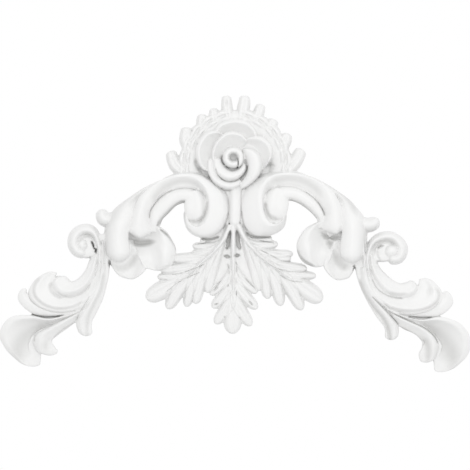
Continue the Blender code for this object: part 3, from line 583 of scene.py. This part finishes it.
# The rose, from the back petals to the heart: the lip of each petal, then its inner edge.
petals = [
    dict(lip=[(213, 137), (216, 128), (224, 122), (235, 120), (246, 122), (254, 129), (258, 138)],
         inner=[(224, 142), (226, 138), (230, 136), (235, 135), (241, 136), (246, 139), (248, 143)],
         crest=(12.5, 14, 14.5, 14, 13), rim=8),
    dict(lip=[(208, 173), (201, 168), (197, 160), (196, 150), (199, 141), (206, 133), (215, 131), (225, 135)],
         inner=[(213, 170), (212.5, 165), (212.5, 158), (213.5, 151), (216, 147), (220, 144), (224, 142),
                (228, 140)],
         crest=(13, 15, 16, 16, 16, 15), rim=9),
    dict(lip=[(244, 139), (251, 137), (260, 137), (268, 142), (272, 151), (270, 160), (264, 169)],
         inner=[(244, 150), (248, 150), (253, 153), (257, 157), (259, 162), (260, 167), (259, 172)],
         crest=(14, 15.5, 16, 15.5, 14, 12), rim=9),
    dict(lip=[(217, 167), (212, 160), (212, 151), (216, 142), (223, 135), (231, 132), (240, 134), (248, 140)],
         inner=[(222, 165), (222, 160), (223, 155), (226, 150), (229, 148), (233, 147), (239, 148),
                (243, 150)],
         crest=(16, 17.5, 18.5, 19, 18.5, 17.5), rim=12),
    dict(lip=[(208, 158), (207, 167), (209, 176), (214, 183), (222, 188), (231, 189), (240, 186)],
         inner=[(213, 159), (214, 167), (217, 174), (222, 179), (228.5, 181.2), (235, 181), (241, 177.5)],
         crest=(15, 16, 16.5, 17, 16.5, 15), rim=12, across=ringShape),
    dict(lip=[(243, 148), (252, 149), (259, 155), (261.5, 164), (259.5, 174), (253, 182), (242, 190)],
         inner=[(241.5, 152), (244.5, 156.5), (246.5, 162), (247.5, 168), (246.5, 174), (243.5, 179),
                (239, 185)],
         crest=(18, 19.5, 19.5, 19, 18, 16, 14), rim=12, across=ringShape),
    dict(lip=[(213, 158), (213, 168), (217.5, 176), (226, 180.5), (235, 180), (242.5, 175), (247, 167)],
         inner=[(220.5, 158), (222, 163), (226, 168), (231.5, 170.8), (237, 169.5), (240.8, 166),
                (242.5, 161.5)],
         crest=(18, 19, 20, 20, 19.5, 18), rim=13, across=ringShape),
]
petalPlain = dict(across=petalShape, lean=noLean, tip=4, root=4)
roseBase = dict(spine=[(209, 158), (261, 158)], half=(29, 29), crest=12.5, rim=8, tip=20, root=20)
heart = dict(
    place=(233, 158), firstRadius=6.6, lastRadius=7.8, firstTurn=50, lastTurn=430, points=14,
    half=3.9, crest=22, rim=16, roundEnd=2)


def rose():
    yield lobe(ribbon(roseBase["spine"], roseBase["half"]),
               **{k: v for k, v in roseBase.items() if k not in ("spine", "half")})
    for petal in petals:
        settings = {**petalPlain, **{k: v for k, v in petal.items() if k not in ("lip", "inner")}}
        yield lobe(between(petal["lip"], petal["inner"]), **settings)
    turns = np.radians(np.linspace(heart["firstTurn"], heart["lastTurn"], heart["points"]))
    radii = np.linspace(heart["firstRadius"], heart["lastRadius"], heart["points"])
    column, row = heart["place"]
    ring = [(column + r * math.cos(a), row + r * math.sin(a)) for a, r in zip(turns, radii)]
    yield lobe(ribbon(ring, (heart["half"],)), crest=heart["crest"], rim=heart["rim"],
               tip=heart["roundEnd"], root=heart["roundEnd"], lean=noLean)


# The laurel: the outer leaves stand out round the rose, the inner ones lie along it. An
# outer leaf is (root, middle, tip, half width).
outerLaurel = [
    ((190, 176), (176, 166), (170, 151), 7), ((193, 154), (186, 141), (187, 127), 7),
    ((208, 138), (202, 126), (202, 114), 6), ((219, 130), (214, 118), (214, 108), 5.5),
    ((229, 124), (227, 110), (226, 95.5), 6), ((240, 124), (243, 110), (245, 95.5), 6.8),
    ((252, 128), (258, 114), (261, 104), 6), ((262, 136), (270, 127), (274, 119), 6.4),
    ((277, 154), (284, 143), (287, 133), 6.8), ((280, 176), (293, 164), (302, 149), 7.5),
]
outerLeaf = dict(widths=(0.7, 1, 0.8), roundTip=0.45, crest=(8.5, 8.5, 7), rim=3.5)
laurelCentre = (235, 166)
laurelBand = dict(radius=45, half=11, reach=112, points=10, crest=8, rim=5)
# rows of inner leaves on each side: angles in degrees, and radii at a leaf's root and tip
innerLaurel = [
    dict(count=6, first=4, step=17, sweep=24, start=54, end=51, crest=(8, 9.5, 8)),
    dict(count=6, first=0, step=17, sweep=24, start=48, end=46, crest=(8, 10, 8)),
]
innerLeaf = dict(half=(2, 3.8, 2.4), rim=6, tip=4)


def aboutLaurel(angle, radius):
    # place at an angle in degrees from straight up, towards the right
    turn = math.radians(angle)
    return laurelCentre[0] + radius * math.sin(turn), laurelCentre[1] - radius * math.cos(turn)


def joinedMesh(name, pieces):
    points, faces, start = [], [], 0
    for piecePoints, pieceFaces in pieces:
        points.append(piecePoints)
        faces.extend(tuple(int(i) + start for i in face) for face in pieceFaces)
        start += len(piecePoints)
    mesh = bpy.data.meshes.new(name)
    mesh.from_pydata(np.concatenate(points), [], faces)
    return mesh


def shown(name, mesh):
    obj = bpy.data.objects.new(name, mesh)
    scene.collection.objects.link(obj)
    return obj


def settled(obj):
    # the object's mesh with its modifiers worked in and taken off
    mesh = bpy.data.meshes.new_from_object(obj.evaluated_get(bpy.context.evaluated_depsgraph_get()))
    obj.modifiers.clear()
    obj.data = mesh
    return mesh


# Node trees start from named inputs and end in Realize Instances and Set Material.
def newTree(name, inputs, build):
    tree = bpy.data.node_groups.new(name, "GeometryNodeTree")
    for label, kind in (("Geometry", "Geometry"), *inputs, ("Material", "Material")):
        tree.interface.new_socket(label, in_out="INPUT", socket_type="NodeSocket" + kind)
    tree.interface.new_socket("Geometry", in_out="OUTPUT", socket_type="NodeSocketGeometry")
    start = Wire(tree)
    entry = tree.nodes.new("NodeGroupInput")
    given = {socket.name: Wire(tree, socket) for socket in entry.outputs if socket.name}
    real = start.node("GeometryNodeRealizeInstances", sockets={0: build(start, given)})
    dressed = start.node("GeometryNodeSetMaterial", sockets={0: real, 2: given["Material"]})
    leave = tree.nodes.new("NodeGroupOutput")
    tree.links.new(dressed.socket, leave.inputs[0])
    return tree


def withTree(obj, tree, **values):
    # adds the tree to the object as a modifier, with its inputs set by their identifiers
    modifier = obj.modifiers.new(tree.name, "NODES")
    modifier.node_group = tree
    sockets = {item.name: item.identifier for item in tree.interface.items_tree if item.in_out == "INPUT"}
    for name, value in values.items():
        modifier[sockets[name]] = value


def laurelRowTree():
    def build(start, given):
        index = start.node("GeometryNodeInputIndex")
        angle = given["First Angle"] + index * given["Step"]
        turn = start.node("ShaderNodeCombineXYZ", sockets={"Y": angle})
        leafShape = start.node("GeometryNodeObjectInfo", sockets={"Object": given["Leaf"]}, output=4)
        points = start.node("GeometryNodePoints", sockets={"Count": given["Count"]})
        return start.node("GeometryNodeInstanceOnPoints", sockets={
            "Points": points, "Instance": leafShape,
            "Rotation": start.node("FunctionNodeEulerToRotation", sockets={"Euler": turn})})

    return newTree("laurelRow", [
        ("Leaf", "Object"), ("Count", "Int"), ("First Angle", "Float"), ("Step", "Float")], build)


def laurelRow(tree, row, side):
    # leaves in a row along the wreath, each turned from the one before about its middle
    def along(share, radius):
        return aboutLaurel(side * row["sweep"] * share, radius)

    spine = [along(0, row["start"]), along(0.5, row["start"]), along(1, row["end"])]
    points, faces = lobe(ribbon(spine, innerLeaf["half"]), crest=row["crest"], rim=innerLeaf["rim"],
                         across=veinedShape, tip=innerLeaf["tip"])
    middle = np.array([xOf(laurelCentre[0]), 0, zOf(laurelCentre[1])])
    pattern = shown("laurelLeaf", joinedMesh("laurelLeaf", [(points - middle, faces)]))
    rows = shown("laurelRow", bpy.data.meshes.new("laurelRow"))
    withTree(rows, tree, **{
        "Leaf": pattern, "Count": row["count"], "First Angle": side * math.radians(row["first"]),
        "Step": side * math.radians(row["step"])})
    mesh = settled(rows)
    points = np.array([point.co for point in mesh.vertices]) + middle
    faces = [tuple(face.vertices) for face in mesh.polygons]
    bpy.data.objects.remove(rows)
    bpy.data.objects.remove(pattern)
    return points, faces


def laurel():
    reach = laurelBand["reach"]
    angles = np.linspace(-reach, reach, laurelBand["points"])
    arc = [aboutLaurel(angle, laurelBand["radius"]) for angle in angles]
    yield lobe(ribbon(arc, (laurelBand["half"],)), crest=laurelBand["crest"], rim=laurelBand["rim"])
    for root, middle, tip, half in outerLaurel:
        yield lobe(
            ribbon([root, middle, tip], tuple(half * share for share in outerLeaf["widths"])),
            crest=outerLeaf["crest"], rim=outerLeaf["rim"], across=veinedShape,
            tip=half * outerLeaf["roundTip"])
    tree = laurelRowTree()
    for row in innerLaurel:
        for side in (-1, 1):
            yield laurelRow(tree, row, side)


def allLobes():
    yield from scrolls()
    for design in leaves.values():
        yield from leaf(**design)
    yield from stem()
    yield from laurel()
    yield from rose()


# Creases, hollows and pits cut into the casting: the places along each, its half width,
# which may change from start to end, and its depth in millimetres.
creases = [
    # round the scrolls
    ([(149.5, 219), (150.5, 211), (155, 203.5)], 1, 1),
    ([(153, 206), (160, 198), (167, 193), (174, 190)], 1.3, 1.1),
    ([(170, 191.5), (179, 188.8), (188, 188.6), (197, 190.5)], 0.9, 1),
    ([(194, 189.5), (201, 192), (206, 197.5)], 1.3, 0.4),
    ([(207, 200), (206.5, 208), (203.5, 216), (197.5, 221.5), (188, 221)], (2, 2.2, 2.6, 3.4, 3.4), 1.4),
    ([(264.5, 194.5), (269, 190.5), (276, 187.8)], 1.2, 0.4),
    ([(272, 188.5), (285, 186.5), (297, 188.2), (308, 194.5)], 0.9, 0.8),
    ([(304, 191.5), (314, 199), (321, 208), (324.5, 216.5)], 1.1, 1.4),
    ([(264.5, 201), (266, 211), (270.5, 217.5), (280, 220.5)], (2, 2.8, 3.6, 2.6), 1.3),
    # the hollow of each arm
    ([(152, 206), (158, 195), (168, 186.5), (180, 182), (192, 183), (201, 189)], 5, 0.8),
    ([(268, 184), (284, 179.5), (300, 181), (313, 188.5), (323, 200)], 5, 0.6),
    # the hollow flank of each arm
    ([(108, 228), (118, 210), (131, 199), (146, 189)], 8, 0.6),
    ([(322, 178), (338, 189), (350, 202), (357, 218)], 6.5, 1.2),
    # the inner walls of the arms
    ([(156.5, 226.5), (163, 218.5), (169.5, 211.5), (177, 205.3), (185.5, 200.5)], 2.6, 5),
    ([(288, 199.5), (300, 203.5), (310, 211.5), (317, 220.5)], 1.5, 2.5),
    # between the scrolls and the stem, and below the scrolls
    ([(224, 190), (227.5, 198), (228.5, 208), (227, 219), (222.5, 230)], 1, 0.8),
    ([(241.5, 189), (240.8, 200), (241, 212), (243, 223), (247, 232)], 1, 0.8),
    ([(200, 238.5), (210, 239.3), (220, 236.3)], 1.7, 3),
    ([(245.5, 231.5), (250, 236), (259, 237.4), (274, 237)], (1.3, 2.1, 1.7, 1.2), 3),
    ([(193, 245), (204, 243), (215, 240.5)], 5, 1.5),
    ([(255, 240), (265, 241.5), (277, 243.5)], 5, 1.5),
    # below the tongues of the arms
    ([(128, 239), (138, 243), (156, 241.5)], 5, 3),
    ([(320, 231), (328, 237.5), (341, 237.5)], 4.2, 2.2),
    ([(329, 234), (330.5, 251)], 5.5, 2),
    # the slits of the curls
    ([(91, 240.5), (93, 244), (95, 250)], 1.5, 4.5),
    ([(94.5, 247), (96, 251), (96.8, 254.5)], 2.3, 6),
    ([(84, 244.5), (88, 242.5)], 2.4, 1.4),
    ([(384, 245.5), (379, 246.5), (376.8, 250.5)], 2, 1.9),
    ([(376.8, 249), (377.5, 256), (381, 262.5)], 1.6, 0.8),
    ([(380.5, 262), (384, 264.5)], 1.8, 3),
    ([(79, 240), (85, 235), (92, 236.5), (97, 243)], 4.5, 0.9),
    ([(373, 257), (374, 248), (380, 241.8), (389, 240.5), (398, 246)], 4.6, 1.3),
    # between the tails and the tips of the arms
    ([(108.8, 259), (109.8, 263), (110.5, 269)], 2.2, 5),
    ([(354, 264), (353.5, 268), (354, 273)], 2.4, 5),
    # between the leaf behind each tail and the flute
    ([(28, 292), (32, 301), (44, 309), (60, 312.5), (76, 310.5)], 0.9, 0.7),
    ([(438.5, 303), (431, 309.5), (420, 313.3), (408, 314.8), (397, 311.5)], 0.9, 0.5),
    # between fan, heel and spur
    ([(80, 311.5), (66, 318), (54, 323.5), (43, 329.5), (35.5, 335), (34.5, 342)], 1.1, 1),
    ([(386, 310), (393, 313.5), (402, 317.7), (411, 321.7), (421, 326.3), (429, 331.5), (434.5, 337.5),
      (437.5, 344)], 1.2, 1.8),
    ([(31, 314), (40, 316.4), (50, 316.8), (64, 314.8)], (1.1, 0.9, 0.7, 0.5), 1.4),
    ([(398, 313.5), (411, 316), (424, 317.3), (440, 315.8)], 0.6, 0.7),
    ([(76, 321), (79, 314), (84, 306), (90, 296)], 1.1, 0.8),
    ([(398.5, 325), (393, 318.5), (386, 311), (379, 304), (371, 296)], 1.2, 1.3),
    ([(381, 305), (387, 311), (393, 317)], 2.2, 1),
    ([(358, 278), (364, 293), (373, 307), (383, 319), (388, 330), (390, 345)], 3.2, 1.7),
    ([(399, 326.5), (408, 331.2), (416, 336), (422, 341.5)], 2, 2.2),
    ([(76, 322), (63, 329.5), (53, 338.5)], 1.6, 1.2),
    # round the bud and the inner petals of the rose
    ([(222.5, 155), (221.3, 161), (224.5, 167), (230.5, 171), (237, 170), (242, 164.5), (243.5, 158),
      (241.5, 150)], 1.1, 1.4),
    ([(215, 168), (218, 175.5), (224.5, 181), (232, 182), (239.5, 179), (245, 173), (248, 165)], 1.1, 1.5),
    ([(237.5, 158), (238, 164), (237, 169)], 0.9, 3),
    ([(208, 175), (214, 184.5), (223, 190), (232, 190.5)], 1.2, 1),
    ([(240.5, 190.5), (248, 186), (256, 179.5), (262, 173)], 1.2, 0.9),
    # the dark corners beside the rose
    ([(264, 168), (270, 165), (276, 168)], 3.8, 1.2),
    ([(195, 158), (196.5, 166), (202, 173)], 2.6, 1.5),
    # hollow bands along the flutes of the tails
    ([(52, 281), (50.5, 288), (55, 294.5), (64, 298.5)], 2.4, 0.9),
    ([(41, 276), (34.5, 285), (34.5, 295), (43, 304), (57, 308.7), (72, 307), (84, 301)], 2.8, 1),
    ([(428, 283), (429, 290), (426, 298)], 4.5, 0.8),
    ([(434, 287), (438.5, 294), (436, 302), (426, 308.5), (410, 311.3), (393, 309), (381, 302)], 2.8, 1),
    ([(101, 268), (99, 282), (92, 295), (80, 305)], 1.2, 0.4),
    ([(366, 272), (369, 285), (377, 297), (390, 307)], 1.2, 0.4),
    ([(56, 291), (64, 296), (74, 296.3), (84, 291.5), (91, 283.5)], 1.8, 0.8),
    ([(371, 278), (376, 287.5), (384, 294), (393, 297.3), (403, 298.3)], 1.2, 0.9),
    ([(386, 292.5), (396, 294.5), (408, 293.5)], 3.2, 1),
    # hollow bands across the fans at the ends
    ([(52, 324), (39, 329), (25.5, 338), (18, 354), (15, 376)], (5, 8, 12, 15, 15), 1.3),
    ([(421, 324.5), (431, 330), (443, 341), (451, 358), (453, 380)], (5, 8.5, 12.5, 15, 15), 1.6),
    # the hollows of the heels, the spurs and the lobes under the bulbs
    ([(52, 336), (46, 345), (48, 358)], 6.5, 0.9),
    ([(418, 334), (426.5, 346), (427, 366)], 6, 1.5),
    ([(104, 272), (101, 290), (94, 305), (88, 320), (87, 340)], 3, 0.9),
    ([(111, 263), (118, 268), (128, 266), (135, 257), (136, 250)], 5, 1.2),
    ([(333, 248), (337, 259), (343, 266), (353, 268)], 6, 1.6),
    # dark places behind the side leaflets of the middle leaf
    ([(223, 278), (217, 286), (211, 293)], 3.2, 1.1),
    ([(243, 276), (249, 283), (257, 290.5)], 3.2, 1.1),
    ([(213, 305), (219, 303)], 1.4, 1.2),
    ([(248, 300), (253, 306)], 1.4, 1.2),
    # between the leaflets of the side leaves, and beside the right shell
    ([(258, 249), (270, 255), (281, 260.5), (292, 261.5)], 1.1, 0.9),
    ([(266, 263), (282, 270), (300, 272), (307, 270)], 1.1, 0.9),
    ([(279, 274.5), (290, 280.5), (303, 282)], 1.1, 0.9),
    ([(295.8, 248), (299.5, 256.5), (306.5, 262.7), (314.5, 266.5)], 2.2, 3),
    ([(159, 228.5), (168, 236), (174.5, 245), (177, 252)], 1.8, 2.2),
    ([(205, 264), (190, 270), (176, 274), (160, 274)], 1.1, 0.9),
    ([(200, 272), (186, 278), (176, 284), (166, 292)], 1.1, 0.9),
    # pits in the middle leaf
    ([(230.3, 230), (228.4, 240), (226.2, 250.5)], (1.6, 2.8, 3.9), 6),
    ([(236.2, 230), (237.7, 240), (239.8, 250.5)], (1.6, 2.8, 3.9), 6),
    ([(222.8, 255.5), (231, 257.3)], 2.8, 5),
    ([(232.5, 255.8), (240.5, 255)], 2.8, 5),
    ([(227, 263), (228.5, 268), (229, 275)], 1.2, 1),
    ([(235.5, 261), (236.5, 268), (236, 273)], 1.2, 1),
    ([(228, 283), (227.5, 288)], 1.2, 1.2),
    ([(236, 290), (236.5, 297)], 1.2, 1.2),
    # small dark places where leaflets meet
    ([(180, 297), (182, 299)], 1.4, 1.6),
    ([(165.5, 292), (167, 294)], 1.4, 1.4),
    ([(223.7, 315.5), (225.5, 318)], 1.4, 1.6),
    ([(238.5, 316), (240, 319)], 1.4, 1.4),
    # small marks on the wreath
    ([(225, 98), (227, 108)], 4.5, 1),
    ([(218, 112), (220.5, 112.5)], 1.6, 1.6),
    ([(191.5, 129), (192, 133)], 1.6, 2),
    ([(196, 144), (199, 145)], 1.4, 1.2),
    ([(253, 111), (256, 110)], 1.4, 1.2),
]
# Fine grooves along each leaflet: their distances from its middle, as shares of its half
# width, and their depths.
veins = dict(
    offsets=((-0.9, 0.4), (-0.45, 0.15), (0.45, 0.15), (0.9, 0.4)),
    widths=(0.5, 1, 0.5),
    clearOfRib=3,         # points left out at the root
    halfWidth=0.9)
engraving = dict(
    pointsPerSpan=14,
    fadeLength=1.6,       # half widths over which a groove runs out
    leastFade=0.05,
    leastThickness=1 * mm,
    # the next three set the painted shade that hollows and grooves get
    blur=12,              # steps of smoothing against which a place counts as hollow
    deepest=1.6 * mm,     # below its surroundings, where a place is shaded in full
    deepestCut=2.4 * mm)  # of a groove, likewise


def grooves():
    # every line to cut: places close together, half width and depth
    for places, halfWidth, depth in creases:
        shares = np.linspace(0, 1, engraving["pointsPerSpan"] * len(places))
        yield smoothAt(places, shares), smoothAt(np.atleast_1d(halfWidth), shares)[:, 0], depth
    for design in leaves.values():
        for share, tip, half in design["tips"]:
            spine = leafletSpine(*leafletStart(design["rib"], share), tip)
            for offset, depth in veins["offsets"]:
                line = ribbon(spine, tuple(half * part * offset for part in veins["widths"]))[1]
                yield line[veins["clearOfRib"]:], veins["halfWidth"], depth


def grooveLines():
    # one chain of points for each groove, on the plane Y = 0, with its width and depth
    points, edges, widths, depths = [], [], [], []
    for places, halfWidth, depth in grooves():
        first = len(points)
        points += [(xOf(column), 0, zOf(row)) for column, row in places]
        edges += [(i, i + 1) for i in range(first, len(points) - 1)]
        run = np.concatenate([[0], np.cumsum(np.linalg.norm(np.diff(places, axis=0), axis=1))])
        fade = np.minimum(run, run[-1] - run) / (engraving["fadeLength"] * halfWidth)
        fade = np.clip(fade, engraving["leastFade"], 1)
        widths += list(halfWidth * square * fade**0.5)
        depths += list(depth * mm * fade)
    mesh = bpy.data.meshes.new("grooveLines")
    mesh.from_pydata(points, edges, [])
    for name, values in (("grooveWidth", widths), ("grooveDepth", depths)):
        mesh.attributes.new(name, "FLOAT", "POINT").data.foreach_set("value", values)
    return shown("grooveLines", mesh)


def engravingTree():
    # cuts each point back by the depth of the nearest groove, and stores painted shade: how much darker a
    # place is coloured where it is sunk below its surroundings or cut by a groove
    def build(start, given):
        lines = start.node("GeometryNodeObjectInfo", sockets={"Object": given["Lines"]}, output=4)
        place = start.node("GeometryNodeInputPosition")
        x, y, z = (start.node("ShaderNodeSeparateXYZ", sockets={0: place}, output=i) for i in range(3))
        flat = start.node("ShaderNodeCombineXYZ", sockets={"X": x, "Z": z})
        away = start.node("GeometryNodeProximity", {"target_element": "EDGES"},
                          {"Geometry": lines, "Sample Position": flat}, output=1)
        nearest = start.node("GeometryNodeSampleNearest", {"domain": "POINT"},
                             {"Geometry": lines, "Sample Position": flat})

        def sampled(name):
            value = start.node("GeometryNodeInputNamedAttribute", {"data_type": "FLOAT"}, {"Name": name})
            return start.node("GeometryNodeSampleIndex", {"data_type": "FLOAT", "domain": "POINT"},
                              {"Geometry": lines, "Value": value, "Index": nearest})

        share = away / sampled("grooveWidth")
        cut = share.spread(0, 1, 1, 0) * sampled("grooveDepth")
        # the front faces -Y, so a cut adds to y and stops at the least thickness
        bottom = start.maths("MAXIMUM", y, given["Least Thickness"] * -1)
        depth = start.maths("MINIMUM", y + cut, bottom)
        moved = start.node("GeometryNodeSetPosition", sockets={
            "Geometry": given["Geometry"],
            "Position": start.node("ShaderNodeCombineXYZ", sockets={"X": x, "Y": depth, "Z": z})})
        around = start.node("GeometryNodeBlurAttribute", {"data_type": "FLOAT"},
                            {"Value": y, "Iterations": given["Blur"]})
        # painted shade: a place sunk below its blurred surroundings, or cut by a groove, is coloured darker
        shade = (y - around).spread(0, given["Deepest"]) + cut / given["Deepest Cut"]
        return start.node("GeometryNodeStoreNamedAttribute", {"data_type": "FLOAT"}, {
            "Geometry": moved, "Name": "hollow", "Value": start.maths("MINIMUM", shade, 1)})

    return newTree("engraving", [
        ("Lines", "Object"), ("Least Thickness", "Float"), ("Blur", "Int"), ("Deepest", "Float"),
        ("Deepest Cut", "Float")], build)


resin = dict(
    colour=(0.84, 0.84, 0.835, 1),
    # darker colour painted into hollows and grooves as shade; the random mottling also mixes in a little of
    # it
    hollow=(0.60, 0.60, 0.59, 1),
    back=(0.74, 0.74, 0.73, 1),
    backEdge=(-0.6 * mm, -0.1 * mm),      # depths between which the back's colour comes in
    cloud=dict(scale=45, detail=3),
    speck=dict(scale=900, detail=2),
    fine=dict(scale=2600, detail=2),
    cloudRange=(0.3, 0.7),                # of the noise's own values
    speckRange=(0.4, 0.6),
    mottling=0.04,
    roughness=0.42,
    cloudRoughness=(-0.04, 0.05),         # added to it
    speckRoughness=(0, 0.04),
    backRoughness=0.25,
    specular=0.4,
    grain=0.1,
    grainDepth=0.12 * mm,
    fineShare=0.5)


def castResin():
    material = bpy.data.materials.new("castResin")
    material.use_nodes = True
    shader = material.node_tree.nodes["Principled BSDF"]
    start = Wire(material.node_tree)
    place = start.node("ShaderNodeTexCoord", output=3)

    def noise(scale, detail):
        return start.node("ShaderNodeTexNoise", sockets={"Vector": place, "Scale": scale, "Detail": detail})

    cloud, speck, fine = noise(**resin["cloud"]), noise(**resin["speck"]), noise(**resin["fine"])
    # painted shade: the colour turns towards the painted-shade colour in hollows and grooves, by the stored
    # amount
    hollow = start.node("ShaderNodeAttribute", {"attribute_name": "hollow"}, output=2)
    depth = start.node("ShaderNodeSeparateXYZ", sockets={0: place}, output=1)
    onBack = depth.spread(*resin["backEdge"])
    front = hollow.mixed(resin["colour"], resin["hollow"])
    tone = onBack.mixed(front, resin["back"])
    # random mottling, not shade: cloud noise mixes in up to a few hundredths of the painted-shade colour
    mottled = cloud.spread(*resin["cloudRange"], 0, resin["mottling"]).mixed(tone, resin["hollow"])
    rough = (
        cloud.spread(*resin["cloudRange"], *resin["cloudRoughness"])
        + speck.spread(*resin["speckRange"], *resin["speckRoughness"])
        + resin["roughness"] + onBack * resin["backRoughness"])
    bump = start.node("ShaderNodeBump", sockets={
        "Strength": resin["grain"], "Distance": resin["grainDepth"],
        "Height": fine * resin["fineShare"] + speck})
    for name, value in (("Base Color", mottled), ("Roughness", rough), ("Normal", bump)):
        material.node_tree.links.new(value.socket, shader.inputs[name])
    shader.inputs["Specular IOR Level"].default_value = resin["specular"]
    return material


def largestShell(obj):
    # melting leaves specks of one cell inside, which come off here
    bpy.ops.object.select_all(action="DESELECT")
    obj.select_set(True)
    bpy.context.view_layer.objects.active = obj
    bpy.ops.mesh.separate(type="LOOSE")
    shells = sorted(bpy.context.selected_objects, key=lambda shell: len(shell.data.vertices))
    for speck in shells[:-1]:
        bpy.data.objects.remove(speck)
    return shells[-1]


def makeApplique():
    applique = shown("appliqueCasting", joinedMesh("lobes", allLobes()))
    print("lobes drawn")
    melt = applique.modifiers.new("melt", "REMESH")
    melt.mode = "VOXEL"
    melt.voxel_size = cast["meltSize"]
    soften = applique.modifiers.new("soften", "SMOOTH")
    soften.factor = cast["softenFactor"]
    soften.iterations = cast["softening"]
    settled(applique)
    applique = largestShell(applique)
    print("lobes melted together,", len(applique.data.vertices), "points")
    lines = grooveLines()
    withTree(applique, engravingTree(), **{
        "Lines": lines, "Least Thickness": engraving["leastThickness"], "Material": castResin(),
        "Blur": engraving["blur"], "Deepest": engraving["deepest"], "Deepest Cut": engraving["deepestCut"]})
    thin = applique.modifiers.new("thin", "DECIMATE")
    thin.ratio = cast["mostTriangles"] / (2 * len(applique.data.polygons))
    mesh = settled(applique)
    mesh.name = "appliqueCasting"
    bpy.data.objects.remove(lines)
    points = np.empty(len(mesh.vertices) * 3, np.float32)
    mesh.vertices.foreach_get("co", points)
    points = np.clip(points.reshape(-1, 3), list(cadBox[0]), list(cadBox[1]))
    mesh.vertices.foreach_set("co", points.ravel())
    mesh.shade_smooth()
    mesh.set_sharp_from_angle(angle=math.radians(cast["sharpAngle"]))
    for face in mesh.polygons:
        if face.normal.y > cast["flatBack"]:
            face.use_smooth = False
    print("casting thinned to", sum(len(face.vertices) - 2 for face in mesh.polygons), "triangles")
    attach(applique, "root")
    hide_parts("applique")


makeApplique()


studio = dict(
    cameraDistance=3,
    frameWidth=0.3,           # metres across the picture
    frameMiddleRow=235,       # row of the layout at the picture's middle
    clipEnd=20,
    floorDrop=0.35,
    floorSize=2,
    floorColour=(0.8, 0.8, 0.8, 1),
    floorRoughness=0.8,
    backdrop=(1, 1, 1, 1),
    roomLevel=0.95,
    roomFromAbove=0.04,
    roomFromRight=0.04,
    keyPlace=(0.04, -0.55, 0.05),
    keySize=0.3,
    keyPower=0.6)


def pointAt(obj, place, target):
    obj.location = place
    obj.rotation_euler = (Vector(target) - Vector(place)).to_track_quat("-Z", "Y").to_euler()


def makeStudio():
    middleHeight = zOf(studio["frameMiddleRow"])
    camera = bpy.data.objects.new("camera", bpy.data.cameras.new("camera"))
    scene.collection.objects.link(camera)
    camera.data.lens = camera.data.sensor_width * studio["cameraDistance"] / studio["frameWidth"]
    camera.data.clip_end = studio["clipEnd"]
    pointAt(camera, (0, -studio["cameraDistance"], middleHeight), (0, 0, middleHeight))
    scene.camera = camera

    key = bpy.data.objects.new("key", bpy.data.lights.new("key", "AREA"))
    scene.collection.objects.link(key)
    key.data.size = studio["keySize"]
    key.data.energy = studio["keyPower"]
    key.visible_camera = False
    pointAt(key, studio["keyPlace"], (0, 0, middleHeight))

    half = studio["floorSize"] / 2
    floor = shown("floor", bpy.data.meshes.new("floor"))
    corners = [(-half, -half), (half, -half), (half, half), (-half, half)]
    floor.data.from_pydata([(x, y, -studio["floorDrop"]) for x, y in corners], [], [(0, 1, 2, 3)])
    paper = bpy.data.materials.new("palePaper")
    paper.use_nodes = True
    shader = paper.node_tree.nodes["Principled BSDF"]
    shader.inputs["Base Color"].default_value = studio["floorColour"]
    shader.inputs["Roughness"].default_value = studio["floorRoughness"]
    floor.data.materials.append(paper)

    world = bpy.data.worlds.new("studio")
    world.use_nodes = True
    scene.world = world
    # the room is even, a little brighter above and to the right; the camera sees plain white
    start = Wire(world.node_tree)
    direction = start.node("ShaderNodeTexCoord", output=0)
    right, up = (start.node("ShaderNodeSeparateXYZ", sockets={0: direction}, output=i) for i in (0, 2))
    level = up * studio["roomFromAbove"] + right * studio["roomFromRight"] + studio["roomLevel"]
    room = start.node("ShaderNodeCombineXYZ", sockets={"X": level, "Y": level, "Z": level})
    seen = start.node("ShaderNodeLightPath", output=0)
    sky = seen.mixed(room, studio["backdrop"])
    world.node_tree.links.new(sky.socket, world.node_tree.nodes["Background"].inputs["Color"])
    scene.view_settings.view_transform = "Standard"
    print("studio ready")


makeStudio()
